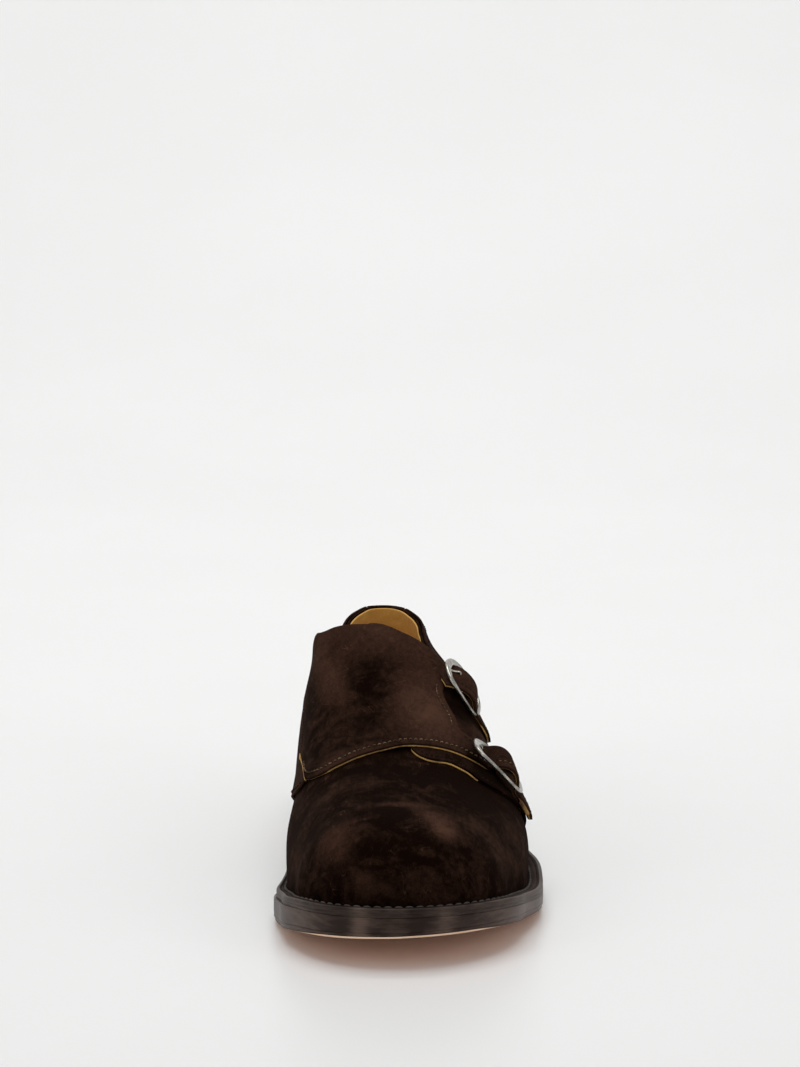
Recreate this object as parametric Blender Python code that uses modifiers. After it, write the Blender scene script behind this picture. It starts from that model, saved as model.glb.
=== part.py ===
"""Left shoe with two monk straps: hollow upper, quarters, strap panel, welt, sole, heel and buckles.

Blender 4.5. Units in the tables are millimetres; meshes are made in metres.
+Z is up, the toe points to -Y, the outer (lateral) side of the left foot is +X.
"""

import math

import bmesh
import bpy
import numpy as np

MM = 0.001

# Driving dimensions, in millimetres.
LENGTH = 304.0  # outsole, toe to heel
TOE_FAN = 45.0  # toe tip of the outsole to the centre the toe sections fan round
HEEL_FAN = 36.0  # heel end of the outsole to the centre the heel sections fan round
GAP = 0.3  # between pieces that rest on each other
WALL = 2.0  # upper, outer leather and lining together
WELT_THICK = 3.2
SOLE_BULGE = 1.2  # the outsole stands out past the welt by this much
INSOLE_THICK = 3.4
QUARTER_THICK = 1.1
PANEL_THICK = 1.6
TONGUE_THICK = 1.8
TAB_THICK = 0.9
TOP_PIECE_THICK = 6.0
LIFT_THICK = 4.8

TOE_Y = -LENGTH / 2 + TOE_FAN
HEEL_Y = LENGTH / 2 - HEEL_FAN



def table(columns, *rows):
    """Rows of numbers with a name for each column."""
    return np.array([tuple(row) for row in rows], dtype=[(name, float) for name in columns.split()])


# The last, one row for each section from the toe tip to the heel back. "turn" is the direction of the
# section's plane, 0 at the toe and 180 at the heel; the sections at 90 are evenly spaced between the
# two fan centres. in_ is the inner (medial) side and out_ the outer one. reach is the widest half
# width, tuck how far the foot of the wall comes in from it, full the squareness of the section,
# ridge the height at which the section closes and welt how far the welt stands out.
SECTIONS = {
    "toe tip": (0, -8.0, 40.0, 0.5, 2.5, 53.5, 5.5, 40.0, 0.5, 2.5, 53.5, 5.5),
    "toe quarter": (30, -8.0, 38.8, 0.7, 2.5, 53.5, 5.2, 41.3, 0.7, 2.5, 53.5, 5.5),
    "toe shoulder": (60, -8.0, 36.8, 0.8, 2.5, 53.5, 4.5, 43.6, 0.8, 2.4, 53.5, 5.5),
    "toe root": (90, -8.0, 36.8, 0.8, 2.4, 53.5, 3.8, 47.0, 1.0, 2.3, 53.5, 5.5),
    "joint": (90, -9.0, 41.0, 0.7, 2.4, 56.3, 3.4, 57.0, 1.2, 2.2, 56.3, 5.8),
    "inner ball": (90, -11.0, 41.2, 0.8, 2.4, 60.7, 3.4, 62.8, 1.8, 2.1, 60.7, 5.6),
    "outer ball": (90, -13.2, 37.4, 2.8, 2.6, 69.3, 3.4, 63.8, 2.5, 2.1, 69.3, 5.4),
    "waist front": (90, -15.4, 33.0, 7.0, 3.0, 84.6, 3.2, 57.0, 4.0, 2.2, 84.6, 5.0),
    "waist": (90, -16.8, 30.4, 10.0, 3.5, 100.4, 3.0, 48.6, 5.0, 2.2, 100.4, 4.2),
    "shank": (90, -14.0, 30.5, 9.0, 3.4, 104.0, 2.5, 41.0, 5.0, 2.1, 92.0, 3.0),
    "heel breast": (90, -11.0, 31.5, 4.0, 2.4, 90.0, 2.0, 36.5, 4.0, 2.2, 86.0, 2.0),
    "heel root": (90, -10.0, 32.5, 3.0, 1.95, 92.0, 2.0, 34.5, 3.0, 1.95, 88.0, 2.0),
    "heel quarter": (120, -10.0, 33.0, 3.0, 1.95, 98.0, 2.0, 34.0, 3.0, 1.95, 92.5, 2.0),
    "heel corner": (150, -10.0, 33.5, 3.0, 1.95, 117.0, 2.0, 34.0, 3.0, 1.95, 110.0, 2.0),
    "heel back": (180, -10.0, 34.0, 3.0, 2.0, 141.0, 2.0, 34.0, 3.0, 2.0, 141.0, 2.0),
}
LAST = table(
    "turn spine_x in_reach in_tuck in_full in_ridge in_welt out_reach out_tuck out_full out_ridge out_welt",
    *SECTIONS.values(),
)
TOE_ROOT = 3  # row numbers of the last section of the toe fan and the first of the heel fan
HEEL_ROOT = 11
LAST_ROW = len(LAST) - 1
TUCK_HEIGHT = 22.0  # the tuck fades out over this height
TOE_SLOPE = 0.10  # of the ridge where the toe sections meet

# Sole heights along the foot: the underside of the outsole and the whole edge up to the upper.
SOLE = table(
    "y under edge",
    (-152.0, 12.6, 10.9),
    (-128.0, 8.4, 11.1),
    (-104.0, 4.6, 11.5),
    (-80.0, 1.7, 12.0),
    (-60.0, 0.0, 12.3),
    (-24.0, 0.0, 12.3),
    (-4.0, 1.6, 11.8),
    (28.0, 8.6, 10.8),
    (58.0, 17.2, 9.6),
    (80.0, 21.6, 9.0),
    (104.0, 24.2, 8.6),
    (152.0, 25.4, 8.2),
)

# The throat, where the closed ridge of the upper opens: each wall line's foot and top section, and
# how far up the section it ends on either side.
THROAT = table(
    "foot_row top_row in_w out_w",
    (6.90, 7.40, 1.00, 1.00),
    (7.10, 7.50, 0.94, 0.90),
    (7.30, 7.64, 0.88, 0.80),
    (7.50, 7.82, 0.82, 0.69),
    (7.70, 8.00, 0.76, 0.60),
)

# The collar behind the throat: each wall line's foot and top section, and the height of the edge.
COLLAR = table(
    "foot_row top_row in_height out_height",
    (7.70, 8.00, 95.0, 84.0),
    (8.00, 8.30, 94.2, 80.8),
    (8.45, 8.65, 91.5, 79.0),
    (9.00, 9.10, 83.5, 77.6),
    (10.0, 10.0, 77.0, 76.3),
    (11.0, 11.0, 80.8, 80.3),
    (12.0, 12.0, 82.6, 82.2),
    (13.0, 13.0, 85.6, 85.4),
    (13.5, 13.5, 87.7, 87.7),
    (14.0, 14.0, 88.3, 88.3),
)


# ---------------------------------------------------------------- the last as one surface


def catmull(p0, p1, p2, p3, f):
    """Cubic through p1 and p2 at f = 0 and 1, with the slopes that the neighbours give."""
    return 0.5 * (2 * p1 + (p2 - p0) * f + (2 * p0 - 5 * p1 + 4 * p2 - p3) * f**2
                  + (3 * p1 - p0 - 3 * p2 + p3) * f**3)  # fmt: skip


def ring_of_sizes():
    """The section sizes as one closed ring: inner side toe to heel, then outer side heel to toe."""
    names = ("reach", "tuck", "full", "ridge", "welt")
    inner, outer = (np.stack([LAST[f"{side}_{name}"] for name in names], -1) for side in ("in", "out"))
    return np.concatenate([inner, outer[-2:0:-1]])


RING = ring_of_sizes()


def spine_x(row):
    """Sideways place of the sections' middle, by a cubic; the toe fan and the heel fan keep theirs."""
    row = np.clip(row, TOE_ROOT, HEEL_ROOT)
    low = np.clip(np.floor(row).astype(int), TOE_ROOT, HEEL_ROOT - 1)
    return catmull(*(LAST["spine_x"][low + k] for k in (-1, 0, 1, 2)), row - low)


def section(row, side):
    """Sizes of the section at a row position; side is -1 for inner and +1 for outer."""
    row = np.asarray(row, float)
    turn = np.radians(np.interp(row, np.arange(len(LAST)), LAST["turn"]))
    y = np.interp(row, (TOE_ROOT, HEEL_ROOT), (TOE_Y, HEEL_Y))
    around = np.where(side < 0, row, (len(RING) - row) % len(RING))
    low = np.floor(around).astype(int)
    sizes = catmull(*(RING[(low + k - 1) % len(RING)] for k in range(4)), (around - low)[..., None])
    reach, tuck, full, ridge, welt = np.moveaxis(sizes, -1, 0)
    ridge = np.where(row < TOE_ROOT, LAST["in_ridge"][TOE_ROOT], ridge)
    return spine_x(row), y, np.sin(turn) * side, -np.cos(turn), reach, tuck, full, ridge, welt


def under(y):
    """Height of the underside of the outsole."""
    return sole_height(y, "under")


def feather(y):
    """Height where the upper meets the welt."""
    return sole_height(y, "under") + sole_height(y, "edge")


def sole_height(y, column):
    """A column of the sole table read by a cubic that never overshoots, so the flats stay flat."""
    at, value = SOLE["y"], SOLE[column]
    steps = np.diff(at)
    rates = np.diff(value) / steps
    before, after = rates[:-1], rates[1:]
    agree = before * after > 0
    inner = np.where(agree, 2 * before * after / np.where(agree, before + after, 1), 0)
    slopes = np.concatenate([rates[:1], inner, rates[-1:]])
    y = np.clip(y, at[0], at[-1])
    low = np.clip(np.searchsorted(at, y, side="right") - 1, 0, len(steps) - 1)
    f = (y - at[low]) / steps[low]
    a, b = value[low], value[low + 1]
    ma, mb = slopes[low] * steps[low], slopes[low + 1] * steps[low]
    return a + f * ma + f**2 * (3 * (b - a) - 2 * ma - mb) + f**3 * (2 * (a - b) + ma + mb)


def last_point(row, w, side):
    """Point of the last. w runs up a section from 0 at the foot of the wall to 1 at the ridge."""
    row, w, side = np.broadcast_arrays(*(np.asarray(v, float) for v in (row, w, side)))
    x, y, dx, dy, reach, tuck, full, ridge, _ = section(row, side)
    angle = w * math.pi / 2
    foot = feather(y + (reach - tuck) * dy)
    rise = (ridge - foot) * np.sin(angle)
    radius = reach * np.clip(np.cos(angle), 0, 1) ** (2 / full)
    radius = radius - tuck * np.clip(1 - rise / TUCK_HEIGHT, 0, 1) ** 2
    tilt = np.where(row < TOE_ROOT, TOE_SLOPE * radius * dy * np.sin(angle) ** 4, 0)
    return np.stack([x + radius * dx, y + radius * dy, foot + rise + tilt], -1)


def around_point(row, q, lift=0.0):
    """Point of the last with q from 0 at the inner foot over 1 at the ridge to 2 at the outer foot."""
    row, q, lift = np.broadcast_arrays(*(np.asarray(v, float) for v in (row, q, lift)))

    def at(r, around):
        return last_point(r, np.where(around < 1, around, 2 - around), np.where(around < 1, -1, 1))

    step = 1e-3
    along = at(row + step, q) - at(row - step, q)
    across = at(row, q + step) - at(row, q - step)
    normal = np.cross(across, along)
    normal = normal / np.linalg.norm(normal, axis=-1, keepdims=True)
    return at(row, q) + normal * lift[..., None]


def row_at(y):
    """Row position of the section at y, between the two fans."""
    return TOE_ROOT + (np.asarray(y, float) - TOE_Y) * (HEEL_ROOT - TOE_ROOT) / (HEEL_Y - TOE_Y)


def w_at_height(row, height, side):
    """The w at which a section reaches a height, by bisection."""
    low, high = np.zeros_like(row), np.ones_like(row)
    for _ in range(30):
        middle = (low + high) / 2
        below = last_point(row, middle, side)[..., 2] < height
        low, high = np.where(below, middle, low), np.where(below, high, middle)
    return low


def collar_w(top_row, side, drop=0.0):
    """The w of the collar at a section, lowered by drop."""
    height = np.interp(top_row, COLLAR["top_row"], COLLAR["in_height" if side < 0 else "out_height"])
    return w_at_height(top_row, height - drop, side)


def top_edge(foot_row, side):
    """(row, w) where the wall line that starts at foot_row ends: ridge, throat or collar."""
    feet = np.r_[0, TOE_ROOT + 2, THROAT["foot_row"], COLLAR["foot_row"][1:]]
    tops = np.r_[0, TOE_ROOT + 2, THROAT["top_row"], COLLAR["top_row"][1:]]
    top_row = np.interp(foot_row, feet, tops)
    w = np.interp(foot_row, THROAT["foot_row"], THROAT["in_w" if side < 0 else "out_w"])
    return top_row, np.where(foot_row < THROAT["foot_row"][-1], w, collar_w(top_row, side))


# ---------------------------------------------------------------- mesh helpers


def material(name, colour, roughness, metallic=0.0):
    made = bpy.data.materials.new(name)
    made.use_nodes = True
    shader = made.node_tree.nodes["Principled BSDF"]
    shader.inputs["Base Color"].default_value = (*colour, 1)
    shader.inputs["Roughness"].default_value = roughness
    shader.inputs["Metallic"].default_value = metallic
    made.diffuse_color = (*colour, 1)
    return made


def add_object(name, points, faces, finish):
    """A named object from points in millimetres, welded, in the shoe's collection."""
    mesh = bpy.data.meshes.new(name)
    mesh.from_pydata((np.asarray(points) * MM).tolist(), [], [tuple(map(int, f)) for f in faces])
    bm = bmesh.new()
    bm.from_mesh(mesh)
    bmesh.ops.remove_doubles(bm, verts=bm.verts, dist=0.00002)
    bmesh.ops.dissolve_degenerate(bm, dist=0.00001, edges=bm.edges)
    bm.to_mesh(mesh)
    bm.free()
    mesh.shade_smooth()
    mesh.set_sharp_from_angle(angle=math.radians(40))
    mesh.materials.append(finish)
    made = bpy.data.objects.new(name, mesh)
    shoe.objects.link(made)
    return made


def grid_faces(rows, columns, wrap=False):
    """Quads of a grid of points stored row after row; wrap joins the last column to the first."""
    row, column = np.meshgrid(np.arange(rows - 1), np.arange(columns - (not wrap)), indexing="ij")
    after = (column + 1) % columns
    a = row * columns
    return np.stack([a + column, a + after, a + columns + after, a + columns + column], -1).reshape(-1, 4)


def solidify(made, thickness, outward):
    """Gives an open surface its wall, on the outer or the inner side."""
    made.modifiers.new("wall", "SOLIDIFY")
    wall = made.modifiers["wall"]
    wall.thickness = thickness * MM
    wall.offset = 1 if outward else -1
    wall.use_even_offset = True
    wall.use_quality_normals = True
    return made


def ring_rows(per_row, throat_steps=0):
    """Row positions and sides round the whole foot, per_row to each row, with closer steps at the throat."""
    one_side = np.linspace(0, LAST_ROW, int(LAST_ROW * per_row) + 1)
    if throat_steps:
        first, last = THROAT["foot_row"][0], THROAT["foot_row"][-1] + 0.3
        closer = np.linspace(first, last, throat_steps)
        one_side = np.concatenate([one_side[one_side < first - 0.1], closer, one_side[one_side > last + 0.1]])
    return (np.concatenate([one_side, one_side[-2:0:-1]]),
            np.concatenate([-np.ones(len(one_side)), np.ones(len(one_side) - 2)]))  # fmt: skip


def outline(beyond, per_row, welt_share=0.0):
    """Plan points round the foot, beyond the foot of the upper by a length and a share of the welt."""
    row, side = ring_rows(per_row)
    x, y, dx, dy, reach, tuck, _, _, welt = section(row, side)
    radius = reach - tuck + welt * welt_share + beyond
    return np.stack([x + radius * dx, y + radius * dy], -1), np.stack([x, y], -1)


def loop_solid(name, rings, finish):
    """Closed solid through closed rings of points; a ring drawn in to a line or point closes an end."""
    rings = np.asarray(rings)
    faces = grid_faces(len(rings), rings.shape[1], wrap=True)
    return tidy_normals(add_object(name, rings.reshape(-1, 3), faces, finish))


def tidy_normals(made):
    bm = bmesh.new()
    bm.from_mesh(made.data)
    bmesh.ops.recalc_face_normals(bm, faces=bm.faces)
    bm.to_mesh(made.data)
    bm.free()
    return made


def face_towards(made, direction):
    """Turns an open patch so that its faces look along a direction, taken over the whole patch."""
    total = sum((np.array(face.normal) * face.area for face in made.data.polygons), np.zeros(3))
    if np.dot(total, direction) < 0:
        made.data.flip_normals()
    return made


def slab_rings(edge, centre, bottom, top, shares=(0.0, 0.55)):
    """Rings of a slab: in along the underside, up the edge and back over the top face.

    edge is a list of (plan points, height function); bottom and top give the faces' heights from y.
    """
    rings = []
    for share in shares:
        plan = centre + (edge[0][0] - centre) * share
        rings.append(np.column_stack([plan, bottom(plan[:, 1])]))
    for plan, height in edge:
        rings.append(np.column_stack([plan, height(plan[:, 1])]))
    for share in reversed(shares):
        plan = centre + (edge[-1][0] - centre) * share
        rings.append(np.column_stack([plan, top(plan[:, 1])]))
    return rings


# ---------------------------------------------------------------- sole


def outsole_top(y):
    return feather(y) - WELT_THICK - 2 * GAP


def make_outsole():
    bottom, centre = outline(SOLE_BULGE - 0.8, 2, welt_share=1.0)
    widest, _ = outline(SOLE_BULGE, 2, welt_share=1.0)
    upper_edge, _ = outline(SOLE_BULGE - 0.5, 2, welt_share=1.0)
    edge = [
        (bottom, under),
        (widest, lambda y: under(y) * 0.7 + outsole_top(y) * 0.3),
        (widest, lambda y: under(y) * 0.3 + outsole_top(y) * 0.7),
        (upper_edge, outsole_top),
    ]
    rings = slab_rings(edge, centre, under, outsole_top)
    return loop_solid("outsole", rings, material("sole leather", (0.045, 0.032, 0.027), 0.45))


def make_welt():
    inner, _ = outline(-WALL, 2)
    outer, _ = outline(0.0, 2, welt_share=1.0)
    corners = []
    for plan, drop in ((inner, WELT_THICK), (outer, WELT_THICK), (outer, 0), (inner, 0), (inner, WELT_THICK)):
        corners.append(np.column_stack([plan, feather(plan[:, 1]) - GAP - drop]))
    return loop_solid("welt", corners, material("welt leather", (0.04, 0.03, 0.026), 0.5))


def make_insole():
    plan, centre = outline(-WALL - GAP - 0.1, 2)

    def bottom(y):
        return outsole_top(y) + GAP

    def top(y):
        return bottom(y) + INSOLE_THICK

    rings = slab_rings([(plan, bottom), (plan, top)], centre, bottom, top)
    return loop_solid("insole", rings, material("lining leather", (0.33, 0.18, 0.06), 0.6))


# ---------------------------------------------------------------- heel

BREAST_ROW = 9.62  # section where the heel starts
BREAST_HOLLOW = 3.0  # the breast curves in by this much
HEEL_TAPER = 1.6  # the heel's foot is this much smaller all round than its top


def heel_plan(inset):
    """Closed plan outline of the heel: round the back between the breast corners, then across."""
    row = np.linspace(BREAST_ROW, LAST_ROW, 12)
    row = np.concatenate([row, row[-2::-1]])
    side = np.where(np.arange(len(row)) < 11, -1, 1)
    x, y, dx, dy, reach, tuck, _, _, welt = section(row, side)
    radius = reach - tuck + welt + SOLE_BULGE - 0.8 - inset
    back = np.stack([x + radius * dx, y + radius * dy], -1)
    share = np.linspace(0, 1, 6)[1:-1, None]
    across = back[-1] + (back[0] - back[-1]) * share
    across[:, 1] += BREAST_HOLLOW * (1 - (2 * share[:, 0] - 1) ** 2)
    return np.concatenate([back, across])


def make_heel():
    leather = material("heel lifts", (0.05, 0.035, 0.028), 0.45)
    rubber = material("heel rubber", (0.02, 0.02, 0.02), 0.7)
    full_height = float(under(HEEL_Y))
    floor_of = TOP_PIECE_THICK
    layers = [("heel_top_piece", 0.0, TOP_PIECE_THICK - GAP, rubber)]
    for count in (1, 2):
        layers.append((f"heel_lift_{count}", floor_of, floor_of + LIFT_THICK - GAP, leather))
        floor_of += LIFT_THICK
    layers.append(("heel_lift_3", floor_of, None, leather))
    made = []
    for name, low, high, finish in layers:
        lower = heel_plan(HEEL_TAPER * (1 - low / full_height))
        centre = np.array([[LAST["spine_x"][HEEL_ROOT], HEEL_Y - 5]])

        def bottom(y, low=low):
            return np.full(len(y), low)

        def top(y, high=high):
            return under(y) - GAP if high is None else np.full(len(y), high)

        upper = heel_plan(HEEL_TAPER * (1 - (high or full_height) / full_height))
        rings = slab_rings([(lower, bottom), (upper, top)], centre, bottom, top, shares=(0.0, 0.5))
        made.append(loop_solid(name, rings, finish))
    return made


# ---------------------------------------------------------------- upper, quarters and tongue

SUEDE = ((0.045, 0.024, 0.016), 0.95)  # colour and roughness
UPPER_ROWS = 11  # mesh rows up the wall


def make_upper():
    foot_row, side = ring_rows(2.5, throat_steps=10)
    v = np.linspace(0, 1, UPPER_ROWS)[:, None]
    inner_top, inner_w = top_edge(foot_row, -1)
    outer_top, outer_w = top_edge(foot_row, 1)
    top_row = np.where(side < 0, inner_top, outer_top)
    top_w = np.where(side < 0, inner_w, outer_w)
    points = last_point(foot_row + (top_row - foot_row) * v**2, top_w * v, side)
    faces = grid_faces(UPPER_ROWS, len(side), wrap=True)
    made = add_object("upper", points.reshape(-1, 3), faces, material("suede", *SUEDE))
    return solidify(tidy_normals(made), WALL, outward=False)


# How each quarter's wall lines run over the upper: foot row, top row, w at the top, and how far the
# line bows towards the toe, in rows. The first row is the quarter's front edge. Behind the last row
# the quarter follows the collar.
QUARTER_COLUMNS = "foot_row top_row top_w bow"
OUTER_QUARTER = table(
    QUARTER_COLUMNS,
    (6.60, 5.40, 0.88, 0.70),
    (7.00, 6.20, 0.87, 0.45),
    (7.40, 7.10, 0.81, 0.20),
    (7.75, 7.78, 0.66, 0.05),
)
INNER_QUARTER = table(
    QUARTER_COLUMNS,
    (7.70, 5.40, 0.510, 0.40),
    (7.85, 6.20, 0.480, 0.25),
    (8.05, 7.10, 0.495, 0.10),
    (8.25, 8.00, 0.560, 0.0),
    (8.45, 8.60, 0.640, 0.0),
)
BOW_POWER = {1: 1.0, -1: 2.0}  # higher moves the bow up the quarter
QUARTER_ROWS = 10  # mesh rows up a quarter
BACKSTAY_ROW = 13.44  # the backstay's edge
SEAM_GAP = 0.03  # in rows, between a quarter and the backstay
LIFT = 0.45  # clearance of an overlay above what it is sewn to
TOP_DROP = 0.6  # the quarters and the backstay end this far below the collar's edge


def make_quarter(name, lines, side, finish):
    front_line, back_line = lines[0], lines[-1]
    back = BACKSTAY_ROW - SEAM_GAP
    foot_row = np.r_[np.linspace(front_line["foot_row"], 8.5, 15), np.linspace(8.5, back, 12)[1:]]
    behind = COLLAR[COLLAR["foot_row"] > back_line["foot_row"] + 0.1]
    feet = np.r_[lines["foot_row"], behind["foot_row"]]
    top_row = np.interp(foot_row, feet, np.r_[lines["top_row"], behind["top_row"]])
    in_table = foot_row <= back_line["foot_row"]
    in_w = np.interp(foot_row, lines["foot_row"], lines["top_w"])
    top_w = np.where(in_table, in_w, collar_w(top_row, side, TOP_DROP))
    bow = np.interp(foot_row, lines["foot_row"], lines["bow"]) * in_table
    v = np.linspace(0.03, 1, QUARTER_ROWS)[:, None]
    row = foot_row + (top_row - foot_row) * v - bow * np.sin(math.pi * v**BOW_POWER[side])
    w = top_w * v
    points = around_point(row, w if side < 0 else 2 - w, LIFT)
    made = add_object(name, points.reshape(-1, 3), grid_faces(QUARTER_ROWS, len(foot_row)), finish)
    return solidify(face_towards(made, (side, 0, 0.35)), QUARTER_THICK, outward=True)


def make_backstay(finish):
    row = np.r_[np.linspace(BACKSTAY_ROW, LAST_ROW, 5), np.linspace(LAST_ROW, BACKSTAY_ROW, 5)[1:]]
    side = np.where(np.arange(len(row)) < 5, -1, 1)
    top_w = np.where(side < 0, collar_w(row, -1, TOP_DROP), collar_w(row, 1, TOP_DROP))
    w = top_w * np.linspace(0.03, 1, QUARTER_ROWS)[:, None]
    points = around_point(row, np.where(side < 0, w, 2 - w), LIFT)
    made = add_object("backstay", points.reshape(-1, 3), grid_faces(QUARTER_ROWS, len(row)), finish)
    return solidify(face_towards(made, (0, 1, 0)), QUARTER_THICK, outward=True)


TONGUE = {"front_y": -8.0, "top_y": 28.5, "half_q": 0.36, "below": 1.0, "corner": 4.0}


def make_tongue(finish):
    share = np.linspace(0, 1, 8)[:, None]
    spread = np.linspace(-1, 1, 15)
    y = TONGUE["front_y"] + (TONGUE["top_y"] - TONGUE["front_y"]) * share
    y = y - TONGUE["corner"] * spread**4 * share
    points = around_point(row_at(y), 1 + TONGUE["half_q"] * spread, -(WALL + TONGUE["below"]))
    made = add_object("tongue", points.reshape(-1, 3), grid_faces(8, 15), finish)
    return solidify(face_towards(made, (0, 0, 1)), TONGUE_THICK, outward=False)


# ---------------------------------------------------------------- strap panel

# The edges of the panel and its two straps, across the shoe from q over the inner side to the outer:
# the panel's front edge, the front strap's upper edge, the rear strap's lower edge and the top edge,
# each as its place along the foot.
PANEL = table(
    "q front_y front_strap_y rear_strap_y top_y",
    (0.50, -40.0, -13.0, 20.0, 50.0),
    (0.66, -50.0, -16.0, 20.0, 49.0),
    (0.77, -51.0, -18.0, 15.0, 42.0),
    (0.90, -48.5, -19.0, 10.0, 33.5),
    (1.00, -45.0, -19.0, 7.0, 31.5),
    (1.14, -40.5, -18.0, 5.0, 28.5),
    (1.30, -36.8, -18.5, 5.0, 26.5),
    (1.38, -35.9, -18.8, 6.1, 24.0),
    (1.48, -35.0, -20.0, 7.3, 22.2),
    (1.60, -35.1, -20.5, 6.6, 20.5),
    (1.90, -38.0, -22.8, 2.0, 17.0),
)
PANEL_INNER_EDGE = ((0.0, 0.535), (0.25, 0.505), (0.5, 0.525), (0.75, 0.590), (1.0, 0.665))  # share, q
PANEL_OUTER_EDGE = ((0.0, 1.34), (0.4, 1.34), (0.6, 1.30), (1.0, 1.30))  # where the straps leave it
ROWS_IN = {"front": 5, "middle": 4, "rear": 5}  # mesh rows in each strap and between them
RAISE_FROM, RAISE_TO = 0.96, 1.10  # q over which the panel climbs on to the outer quarter


def panel_y(q, level):
    """Place along the foot on level 0 (front edge) to 3 (top edge) at q."""
    edges = np.stack([np.interp(q, PANEL["q"], PANEL[name]) for name in PANEL.dtype.names[1:]], -1)
    low = np.clip(np.floor(level).astype(int), 0, 2)
    f = level - low
    return (np.take_along_axis(edges, low[..., None], -1)[..., 0] * (1 - f)
            + np.take_along_axis(edges, low[..., None] + 1, -1)[..., 0] * f)  # fmt: skip


def ease(x, low, high):
    """Smooth step from 0 at low to 1 at high."""
    f = np.clip((x - low) / (high - low), 0, 1)
    return f * f * (3 - 2 * f)


# Each strap and its buckle: middle of the strap along the foot, q where the frame's inner end
# crosses it and where its outer end does, q where the strap ends and how far that end leans, the
# frame's clearance above the strap, how much higher its inner end stands, and the height of the
# strap's underside over the bar and tab.
BUCKLES = {
    "rear": {
        "y": 15.5, "start_q": 1.345, "end_q": 1.566, "strap_end_q": 1.672, "lean": 0.043,
        "clear": 0.9, "rise": 3.9, "arch": 9.65,
    },
    "front": {
        "y": -27.6, "start_q": 1.415, "end_q": 1.664, "strap_end_q": 1.800, "lean": 0.022,
        "clear": 1.0, "rise": 0.0, "arch": 8.1,
    },
}  # fmt: skip
ON_QUARTER = LIFT + QUARTER_THICK + LIFT  # height of what lies on the outer quarter
ON_TAB = ON_QUARTER + TAB_THICK + LIFT
ARCH_SPAN = 0.78  # of the frame's length, over which the strap arches
PRONG_WIRE = 0.75
TAB_HALF_WIDTH = 6.0
FRAME = {"half_width": 11.4, "corner": 3.6, "wire": 0.95, "bar_wire": 0.8}


def frame_axes(buckle):
    """Middle of the frame, its directions along the strap, across it and outwards, and half its length."""
    row = row_at(buckle["y"])
    above = PANEL_THICK + buckle["clear"] + FRAME["wire"]
    start = around_point(row, buckle["start_q"], ON_QUARTER + above + buckle["rise"])
    end = around_point(row, buckle["end_q"], ON_TAB + above)
    along = end - start
    half_length = np.linalg.norm(along) / 2
    along = along / (2 * half_length)
    ends = np.array([buckle["start_q"], buckle["end_q"]])
    across = np.sum(around_point(row + 0.25, ends, 5.0) - around_point(row - 0.25, ends, 5.0), axis=0)
    across = across - along * np.dot(across, along)
    across = across / np.linalg.norm(across)
    return (start + end) / 2, along, across, np.cross(along, across), half_length


def strap_lift(row, q, buckle):
    """Height of the strap's underside over the last: on the quarter, over the bar, then on the tab."""
    middle, along, _, _, half_length = frame_axes(buckle)
    station = (around_point(row, q, ON_QUARTER) - middle) @ along / half_length
    base = ON_QUARTER + (ON_TAB - ON_QUARTER) * ease(station, -0.3, 0.6)
    hump = (1 - np.minimum(np.abs(station) / ARCH_SPAN, 1) ** 2.4) ** 1.6
    return base + (buckle["arch"] - (ON_QUARTER + ON_TAB) / 2) * hump


def make_strap_panel(finish):
    levels = np.concatenate([
        np.linspace(0, 1, ROWS_IN["front"]),
        np.linspace(1, 2, ROWS_IN["middle"])[1:],
        np.linspace(2, 3, ROWS_IN["rear"])[1:],
    ])  # fmt: skip
    inner = np.interp(levels / 3, *zip(*PANEL_INNER_EDGE))
    outer = np.interp(levels / 3, *zip(*PANEL_OUTER_EDGE))
    body = inner + (outer - inner) * np.linspace(0, 1, 19)[:, None]
    points, faces = [], []

    def add(q, level, lift, keep):
        base = sum(len(p) for p in points)
        rows, columns = q.shape
        grid = around_point(row_at(panel_y(q, level)), q, lift)
        points.append(grid.reshape(-1, 3))
        faces.append(grid_faces(rows, columns)[keep] + base)

    level = np.broadcast_to(levels, body.shape)
    on_body = LIFT + (ON_QUARTER - LIFT) * ease(body, RAISE_FROM, RAISE_TO)
    add(body, level, on_body, slice(None))
    for name, first in (("front", 0), ("rear", ROWS_IN["front"] + ROWS_IN["middle"] - 2)):
        buckle = BUCKLES[name]
        own = levels[first : first + ROWS_IN[name]]
        start = outer[first : first + ROWS_IN[name]]
        share = np.linspace(0, 1, 21)[:, None]
        across = (own - own[0]) / (own[-1] - own[0]) * 2 - 1
        end = buckle["strap_end_q"] + buckle["lean"] * across - 0.022 * across**4
        q = start + (end - start) * share
        own = np.broadcast_to(own, q.shape)
        add(q, own, strap_lift(row_at(panel_y(q, own)), q, buckle), slice(None))
    made = add_object("strap_panel", np.concatenate(points), np.concatenate(faces), finish)
    return solidify(face_towards(made, (0, 0, 1)), PANEL_THICK, outward=True)


# ---------------------------------------------------------------- buckles

def tube(name, path, radius, finish, closed=False):
    """Mesh tube along points in millimetres."""
    curve = bpy.data.curves.new(name, "CURVE")
    curve.dimensions = "3D"
    curve.bevel_depth = MM
    curve.bevel_resolution = 2
    curve.use_fill_caps = not closed
    spline = curve.splines.new("POLY")
    spline.points.add(len(path) - 1)
    radius = np.broadcast_to(radius, len(path))
    for point, place, size in zip(spline.points, np.asarray(path) * MM, radius):
        point.co = (*place, 1)
        point.radius = size
    spline.use_cyclic_u = closed
    made = bpy.data.objects.new(name, curve)
    shoe.objects.link(made)
    curve.materials.append(finish)
    return made


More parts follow.
